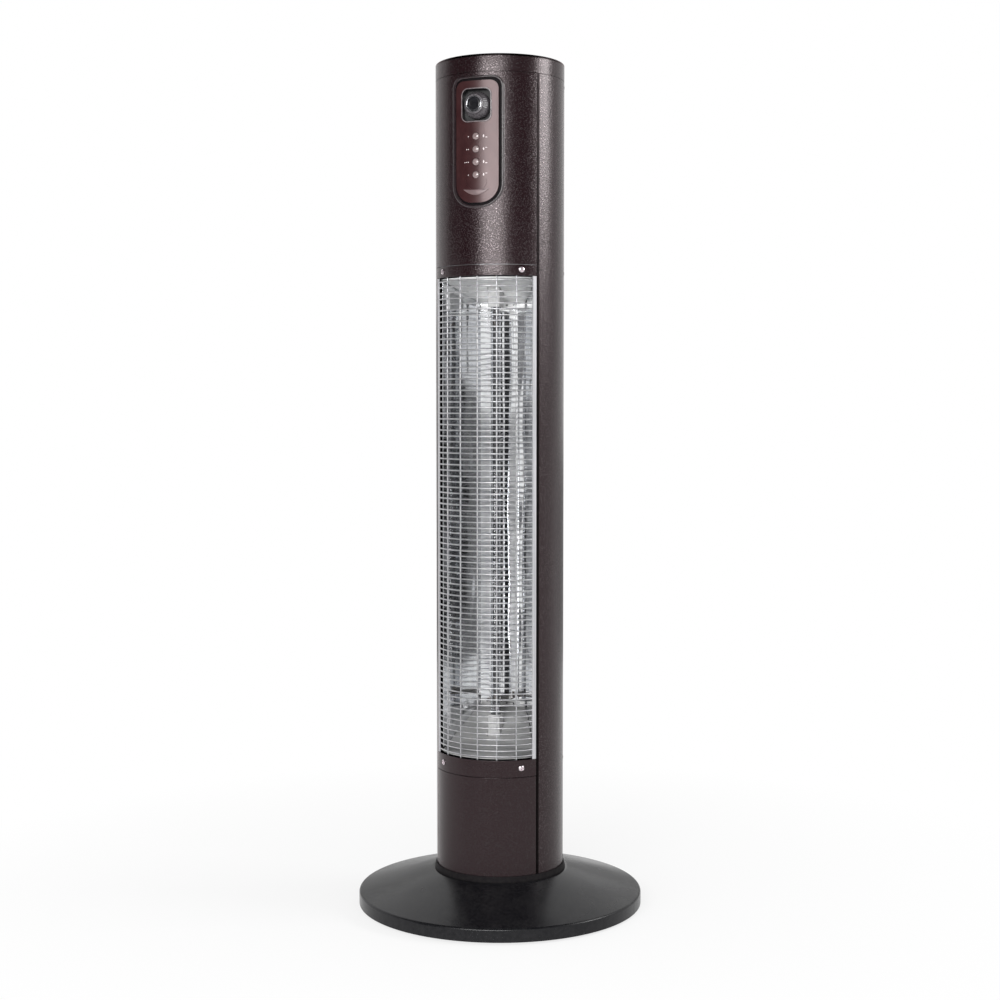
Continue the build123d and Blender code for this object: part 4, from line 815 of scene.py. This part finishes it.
def make_lamp_ends():
    """Spring and clamp at each end of the element."""
    centre_y = middle("lamp_element", "y")
    coil_radius, coil_wire, coil_length, clamp_away = 3.4 * MM, 0.4 * MM, 12 * MM, 15 * MM
    springs, clamps = bmesh.new(), bmesh.new()

    def place(radius, angle, height):
        return Vector((radius * cos(angle), centre_y + radius * sin(angle), height))

    for end, way in zip((corner.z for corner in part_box("lamp_element")), (1, -1)):
        coil = [place(coil_radius, tau * step / 16, end + way * (2 * MM + coil_length * step / 96))
                for step in range(97)]
        rod(springs, coil, coil_wire, 6)
        rim = [(0.0, 0.0), (3.6, 0.0), (4.0, 0.6), (4.0, 7.4), (3.6, 8.0), (0.0, 8.0)]
        turned([(r * MM, end + way * (clamp_away + h * MM)) for r, h in rim], 24, place, clamps)
    piece_from(springs, "lamp_springs", "screw_plating", "screw_steel")
    piece_from(clamps, "lamp_clamps", "holder_steel", "zinc_steel")


class HEATER_OT_lamp(bpy.types.Operator):
    """Finish the lamp, and make its end springs and clamps"""

    bl_idname = "heater.lamp"
    bl_label = "Lamp"

    def execute(self, context):
        refinish({
            "quartz_glass": ["lamp_tube"],
            "carbon_ribbon": ["lamp_element"],
            # The end caps' grey tone is painted shade.
            "shaded_ceramic": ["lamp_end_caps"],
            "holder_steel": ["lower_lamp_holder"],
            # The upper holder shares the painted-light copy of the sheet.
            "lit_sheet": ["upper_lamp_holder"],
            "black_plastic": ["terminal_block", "thermal_cutout"],
            "lead_sleeve": ["riser_leads", "lamp_leads", "supply_lead"],
        })
        make_lamp_ends()
        return {"FINISHED"}


def make_rims(sizes):
    """Rounded bead round the opening, and a finer one on the knob's well whose light tone is a
    painted highlight along the well's edge.
    """
    line = rounded_line(width=61.8 * MM, height=147.8 * MM, top=head_top - 4.6 * MM,
                        top_corner=11.9 * MM, bottom_corner=25.9 * MM)
    rise = sizes.rim_bead / MM
    section = [(-0.9, -0.3), (-0.75, 0.0), (-0.3, rise - 0.42), (0.2, rise - 0.12), (0.7, rise),
               (1.3, rise - 0.12), (1.8, rise - 0.45), (2.2, -0.2), (2.3, -0.6), (2.3, -3.0),
               (0.2, -3.0), (0.2, -0.3)]
    piece_from(bead(line, section, column_radius, left_reach=1.5 * MM), "control_rim", "rim_paint",
               "shell_paint", ["control_bezel"], 50)
    low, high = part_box("knob_well")
    corner = 8.4 * MM
    line = rounded_line(high.x - low.x, high.z - low.z, high.z, corner, corner)
    section = [(0.0, -1.0), (0.0, -0.1), (0.25, 0.12), (0.7, 0.2), (1.15, 0.05), (1.4, -1.0)]
    piece_from(bead(line, section, -low.y), "well_rim", "well_rim_highlight_plastic", "black_plastic",
               crease=50)


def make_knob(sizes):
    """Fluted grip with a pointer groove, its bright ring and its glossy cap."""
    place = front_axis(middle("knob", "z"))
    back = -knob_high.y
    radius = (knob_high.x - knob_low.x) / 2
    seat, nose, foot = 9.25 * MM, 10.6 * MM, back + 5.5 * MM
    flute_depth, groove_half, groove_depth = 0.30 * MM, 0.8 * MM, 0.7 * MM
    profile = [(9.2 * MM, back), (radius - 0.6 * MM, back), (radius - 0.1 * MM, back + 0.5 * MM),
               (radius, back + 1.2 * MM), (radius, back + 3.0 * MM), (radius, foot)]
    for step in range(1, 15):
        share = step / 14
        ease = 0.35 * share + 0.65 * share * share * (3 - 2 * share)
        profile.append((radius + (nose + 0.5 * MM - radius) * ease,
                        foot + (knob_face - 0.5 * MM - foot) * share))
    profile += [(nose + 0.15 * MM, knob_face - 0.12 * MM), (nose - 0.4 * MM, knob_face),
                (seat + 0.4 * MM, knob_face), (seat + 0.1 * MM, knob_face),
                (seat, knob_face - 0.2 * MM), (seat, knob_face - 2 * MM),
                (3.2 * MM, knob_face - 2 * MM)]
    shape = bmesh.new()
    rows = []
    for r, h in profile:
        fluted = back + 1.0 * MM < h < knob_face - 1.5 * MM and r > nose
        grooved = foot < h and r > seat + 0.05 * MM
        row = []
        for step in range(288):
            angle = tau * step / 288
            inward = flute_depth * (0.5 - 0.5 * cos(sizes.knob_flutes * angle)) if fluted else 0.0
            if grooved and sin(angle) > 0 and abs(r * cos(angle)) < groove_half:
                inward += groove_depth
            row.append(place(r - inward, angle, h))
        rows.append(row)
    loft(shape, rows)
    piece_from(shape, "knob_grip", "knob_plastic", "black_plastic", ["knob"], 32, KNOB)
    ring_line = [(8.1, -2.0), (9.15, -2.0), (9.15, 0.05), (8.95, 0.35), (8.6, 0.45),
                 (8.25, 0.35), (8.1, 0.05), (8.1, -2.0)]
    cap_line = [(0.0, -2.0), (7.95, -2.0), (7.95, 0.0), (7.8, 0.5), (7.4, 0.82), (6.9, 0.9),
                (6.2, 0.88), (5.0, 0.80), (3.6, 0.72), (2.0, 0.67), (0.0, 0.65)]
    for name, line, material, slot, node in (
            ("knob_bright_ring", ring_line, "ring_chrome", "screw_steel", "knob_ring"),
            ("knob_dished_cap", cap_line, "knob_gloss", "gloss_black", "knob_cap")):
        piece_from(turned([(r * MM, knob_face + h * MM) for r, h in line], 96, place), name,
                   material, slot, [node], body=KNOB)


def make_buttons():
    """Four domed buttons, each on its own body."""
    stem, flange, head, flange_front = 1.5 * MM, 5.3 * MM, 4.0 * MM, 71.8 * MM
    dome = [(4.0, 1.5), (3.92, 1.1), (3.6, 0.68), (3.0, 0.38), (2.2, 0.17), (1.2, 0.05), (0.0, 0.0)]
    for name, body in button_bodies.items():
        low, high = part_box(name)
        face, back = -low.y, -high.y
        line = [(0.0, back), (stem - 0.05 * MM, back), (stem, back + 0.2 * MM),
                (stem, flange_front - 1.2 * MM), (flange, flange_front - 1.2 * MM),
                (flange, flange_front - 0.1 * MM), (head, flange_front)]
        line += [(r * MM, face - below * MM) for r, below in dome]
        piece_from(turned(line, 64, front_axis(middle(name, "z"))), name + "_dome",
                   "button_pearl", "button_plastic", [name], body=body)


def make_crescent():
    """Crescent lip near the foot of the fascia; its light tone is a painted highlight on the curved
    lip.
    """
    reach, sag, proud, steps = 16.0 * MM, 7.0 * MM, 77.45 * MM, 40
    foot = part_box("control_fascia")[0].z + 8.5 * MM
    shape = bmesh.new()
    rows = []
    for lift, share in ((-0.95, 0.0), (-0.55, 0.0), (-0.12, 0.06), (0.0, 0.16)):
        depth = proud + lift * MM
        row = []
        for step in range(2 * steps):
            way = 1 if step < steps else -1
            x = way * reach * (2 * (step % steps) / steps - 1)
            bow = 1 - (x / reach) ** 2
            low, high = foot + sag * (1 - bow), foot + sag * (1.0 - 0.12 * bow)
            z = low if way > 0 else high
            row.append((x * (1 - 0.1 * share), -sqrt(depth ** 2 - x ** 2),
                        z + ((low + high) / 2 - z) * share))
        rows.append(row)
    front = loft(shape, rows)[-1]
    for step in range(steps):
        corners = [front[step], front[step + 1], front[2 * steps - 1 - step], front[-step]]
        shape.faces.new(list(dict.fromkeys(corners)))
    piece_from(shape, "crescent_lip", "lip_highlight_gloss", "gloss_bronze", crease=40)


def make_marks(sizes):
    """Printed dots and bars beside the buttons: plain counts, no lettering."""
    shape = bmesh.new()
    fascia_radius = 76.8 * MM
    for row, name in enumerate(button_bodies):
        centre = middle(name, "z")
        spots = [(-9.5 - 2.2 * n, 0.0, 1.0, 1.0) for n in range(row + 1 if row < 3 else 1)]
        spots += [(9.2, 0.0, 1.3, 2.6), (12.4, 1.4 if row % 2 else -1.4, 2.2, 0.7)]
        for x, z, wide, tall in spots:
            half_wide, half_tall = wide * sizes.mark_size / 2, tall * sizes.mark_size / 2
            outline = [(x * MM + half_wide * cos(tau * step / 16),
                        centre + z * MM + half_tall * sin(tau * step / 16)) for step in range(16)]
            loft(shape, [[on_column(px, pz, fascia_radius + lift) for px, pz in outline]
                         for lift in (-0.05 * MM, 0.06 * MM)], caps=True)
    piece_from(shape, "button_marks", "printed_marks", "button_plastic")


class HEATER_OT_controls(bpy.types.Operator):
    """Make the rims, knob, buttons, crescent lip and printed marks of the control panel, and finish
    the fascia
    """

    bl_idname = "heater.controls"
    bl_label = "Controls"

    def execute(self, context):
        sizes = context.scene.heater_sizes
        make_rims(sizes)
        make_knob(sizes)
        make_buttons()
        make_crescent()
        make_marks(sizes)
        refinish({
            "fascia_gloss": ["control_fascia"],
            "well_plastic": ["knob_well"],
            # The carrier's near-black finish is a painted shadow in the groove.
            "groove_shadow_plastic": ["control_carrier"],
            "black_plastic": ["rotary_switch", "tact_switches", "board_components"],
            "zinc_sheet": ["switch_nut", "knob_shaft", "board_screws"],
            "board_laminate": ["control_board"],
        })
        return {"FINISHED"}


class HEATER_OT_screws(bpy.types.Operator):
    """Make the screws of the guard bands and of the rear shell"""

    bl_idname = "heater.screws"
    bl_label = "Screws"

    def execute(self, context):
        band_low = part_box("guard_lower_band")[1].z - 9.5 * MM
        band_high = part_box("guard_upper_band")[0].z + 6.8 * MM
        cap_z = head_top - 6.5 * MM
        foot_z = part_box("foot_collar")[0].z + 14 * MM
        chance = random.Random(5)
        front, rear = bmesh.new(), bmesh.new()
        for height in (band_low, band_high):
            for degree in (-40, 40):
                screw_head(front, radians(degree), height, column_radius + 0.05 * MM,
                           diameter=6.5 * MM, thickness=1.6 * MM, turn=chance.uniform(0, pi / 2))
        piece_from(front, "band_screws", "screw_plating", "screw_steel", ["guard_screws"])
        for height, degrees in ((band_low, (105, 180, 255)), (band_high, (105, 180, 255)),
                                (cap_z, (105, 180, 255)), (foot_z, (105, 255))):
            for degree in degrees:
                screw_head(rear, radians(degree), height, column_radius - 0.75 * MM,
                           diameter=6.0 * MM, thickness=1.1 * MM, turn=chance.uniform(0, pi / 2))
        piece_from(rear, "shell_screws", "dark_screw", "screw_steel", ["rear_screws"])
        return {"FINISHED"}


# ---- stage

def aim(holder, spot, target):
    """Puts a lamp or the camera at a spot, and turns it to a target."""
    holder.location = spot
    holder.rotation_mode = "QUATERNION"
    holder.rotation_quaternion = (Vector(target) - Vector(spot)).to_track_quat("-Z", "Y")
    bpy.context.scene.collection.objects.link(holder)


def soft_lamp(name, azimuth, distance, height, width, tall, power, aim_z, mirrored=True):
    """Soft rectangular lamp aimed at the column."""
    angle = radians(azimuth)
    light = bpy.data.lights.new(name, "AREA")
    light.shape = "RECTANGLE"
    light.size, light.size_y = width, tall
    light.energy = power
    holder = bpy.data.objects.new(name, light)
    holder.visible_glossy = mirrored
    aim(holder, (distance * sin(angle), -distance * cos(angle), height), (0, 0, aim_z))


def set_piece(shape, name, material):
    """Makes a piece of the stage from a bmesh."""
    mesh = bpy.data.meshes.new(name)
    shape.to_mesh(mesh)
    shape.free()
    mesh.materials.append(material)
    piece = bpy.data.objects.new(name, mesh)
    bpy.context.scene.collection.objects.link(piece)
    return piece


def reflection_card(name, start, stop, distance, low, high, tone=0.01, roof=False):
    """Curved card seen only in reflections, or a flat one overhead."""
    shape = bmesh.new()
    columns = []
    for step in range(9):
        angle = radians(start + (stop - start) * step / 8)
        x, y = distance * sin(angle), -distance * cos(angle)
        inner = (0.01 * x, 0.01 * y, high) if roof else (x, y, low)
        columns.append([inner, (x, y, high)])
    loft(shape, columns, closed_ring=False)
    matt = bpy.data.materials.new(name)
    matt.use_nodes = True
    sockets = matt.node_tree.nodes["Principled BSDF"].inputs
    sockets["Base Color"].default_value = (tone, tone, tone, 1)
    sockets["Roughness"].default_value = 1.0
    card = set_piece(shape, name, matt)
    card.visible_camera = card.visible_diffuse = False
    card.visible_shadow = card.visible_transmission = False


def white_share(tree, camera, glossy, transmission):
    """Greatest share of white among the kinds of ray that see it."""
    seen = add_node(tree, "ShaderNodeLightPath").outputs
    first, second, third = (compute(tree, "MULTIPLY", seen["Is " + ray + " Ray"], level)
                            for ray, level in (("Camera", camera), ("Glossy", glossy),
                                               ("Transmission", transmission)))
    return compute(tree, "MAXIMUM", compute(tree, "MAXIMUM", first, second), third)


def make_floor(colour):
    """Pale floor that the camera sees as white, with the object's soft shadow."""
    half, near, far = 7, 0.17, 0.8
    material = bpy.data.materials.new("pale_floor")
    material.use_nodes = True
    tree = material.node_tree
    tree.nodes.remove(tree.nodes["Principled BSDF"])
    spot = add_node(tree, "ShaderNodeTexCoord").outputs["Object"]
    reach = add_node(tree, "ShaderNodeVectorMath", {0: spot}, operation="LENGTH").outputs["Value"]
    tone = mix_colour(tree, cloudy(tree, spot, 3.0, 3.0), colour, tuple(0.98 * c for c in colour))
    away = stretch_map(tree, reach, near, far, 0.76, 1.0)
    share = white_share(tree, away, stretch_map(tree, reach, near, far, 0.45, 1.0), away)
    blend = add_node(tree, "ShaderNodeMixShader", {
        0: share, 1: add_node(tree, "ShaderNodeBsdfDiffuse", {"Color": tone}).outputs[0],
        2: add_node(tree, "ShaderNodeEmission", {"Strength": 1.0}).outputs[0]})
    tree.links.new(blend.outputs[0], tree.nodes["Material Output"].inputs["Surface"])
    shape = bmesh.new()
    shape.faces.new([shape.verts.new((x, y, 0)) for x, y in (
        (-half, -half), (half, -half), (half, half), (-half, half))])
    set_piece(shape, "floor", material)


def make_room(daylight):
    """White to camera, metal and glass, and an even soft light for everything else."""
    world = bpy.data.worlds.new("studio")
    bpy.context.scene.world = world
    world.use_nodes = True
    tree = world.node_tree
    tree.nodes.clear()
    even, white = (add_node(tree, "ShaderNodeBackground", {
        "Color": (1, 1, 1, 1), "Strength": level}).outputs[0] for level in (daylight, 1.0))
    blend = add_node(tree, "ShaderNodeMixShader", {
        0: white_share(tree, 1.0, 1.0, 1.0), 1: even, 2: white})
    add_node(tree, "ShaderNodeOutputWorld", {"Surface": blend.outputs[0]})


class HEATER_OT_stage(bpy.types.Operator):
    """Set up the floor, the room, the cards that shape reflections, the lamps and the camera"""

    bl_idname = "heater.stage"
    bl_label = "Stage"

    def execute(self, context):
        stage = context.scene.heater_stage
        scene = context.scene
        scene.view_settings.view_transform = "Standard"
        lens = bpy.data.cameras.new("camera")
        lens.lens = stage.lens
        lens.sensor_width = 36.0
        camera = bpy.data.objects.new("camera", lens)
        aim(camera, stage.camera_spot, stage.camera_aim)
        scene.camera = camera
        make_floor(stage.floor_colour)
        make_room(stage.daylight)
        # Name, azimuths, distance, heights and tone.
        reflection_card("left_card", -84, -15, 1.7, 0.86, 2.4)
        reflection_card("right_card", 40, 84, 1.7, 0.86, 2.4)
        reflection_card("low_card", -48, -32, 1.7, 0.0, 0.86)
        reflection_card("roof_card", -180, 180, 1.8, 2.3, 2.3, roof=True)
        reflection_card("back_card", 150, 192, 1.9, 0.0, 0.5, 0.45)
        reflection_card("behind_card", 199, 240, 1.9, 0.0, 0.8, 0.5)
        reflection_card("mid_card", -32, -23, 1.7, 0.0, 0.62, 0.15)
        reflection_card("front_card", -12, 30, 1.7, 0.0, 0.60, 0.4)
        # Name, azimuth, distance, height, width, size upwards, power and the height aimed at.
        soft_lamp("key_lamp", 8, 2.6, 1.24, 1.75, 0.6, stage.key_power, 0.9)
        soft_lamp("side_lamp", 104.5, 2.2, 1.42, 0.92, 0.7, stage.side_power, 0.9)
        soft_lamp("low_fill", -6, 1.8, 0.25, 1.0, 0.4, stage.fill_power, 0.72, False)
        return {"FINISHED"}


class HEATER_PT_panel(bpy.types.Panel):
    """Buttons for the pieces and the stage"""

    bl_idname = "HEATER_PT_panel"
    bl_label = "Patio heater tower"
    bl_space_type = "VIEW_3D"
    bl_region_type = "UI"
    bl_category = "Heater"

    def draw(self, context):
        layout = self.layout
        for group in (context.scene.heater_sizes, context.scene.heater_colours,
                      context.scene.heater_stage):
            box = layout.box()
            for key in group.__annotations__:
                box.prop(group, key)
        for operator in OPERATORS:
            layout.operator(operator.bl_idname)


OPERATORS = (HEATER_OT_finishes, HEATER_OT_stage, HEATER_OT_column, HEATER_OT_base, HEATER_OT_guard,
             HEATER_OT_reflector, HEATER_OT_lamp, HEATER_OT_controls, HEATER_OT_screws)
GROUPS = {"heater_sizes": HeaterSizes, "heater_colours": HeaterColours,
          "heater_stage": StageSettings}


def register():
    for cls in (*GROUPS.values(), *OPERATORS, HEATER_PT_panel):
        bpy.utils.register_class(cls)
    for name, group in GROUPS.items():
        setattr(bpy.types.Scene, name, PointerProperty(type=group))


def unregister():
    for name in GROUPS:
        delattr(bpy.types.Scene, name)
    for cls in reversed((*GROUPS.values(), *OPERATORS, HEATER_PT_panel)):
        bpy.utils.unregister_class(cls)


def main():
    register()
    for operator in OPERATORS:
        family, name = operator.bl_idname.split(".")
        getattr(getattr(bpy.ops, family), name)()


if __name__ == "__main__":
    main()
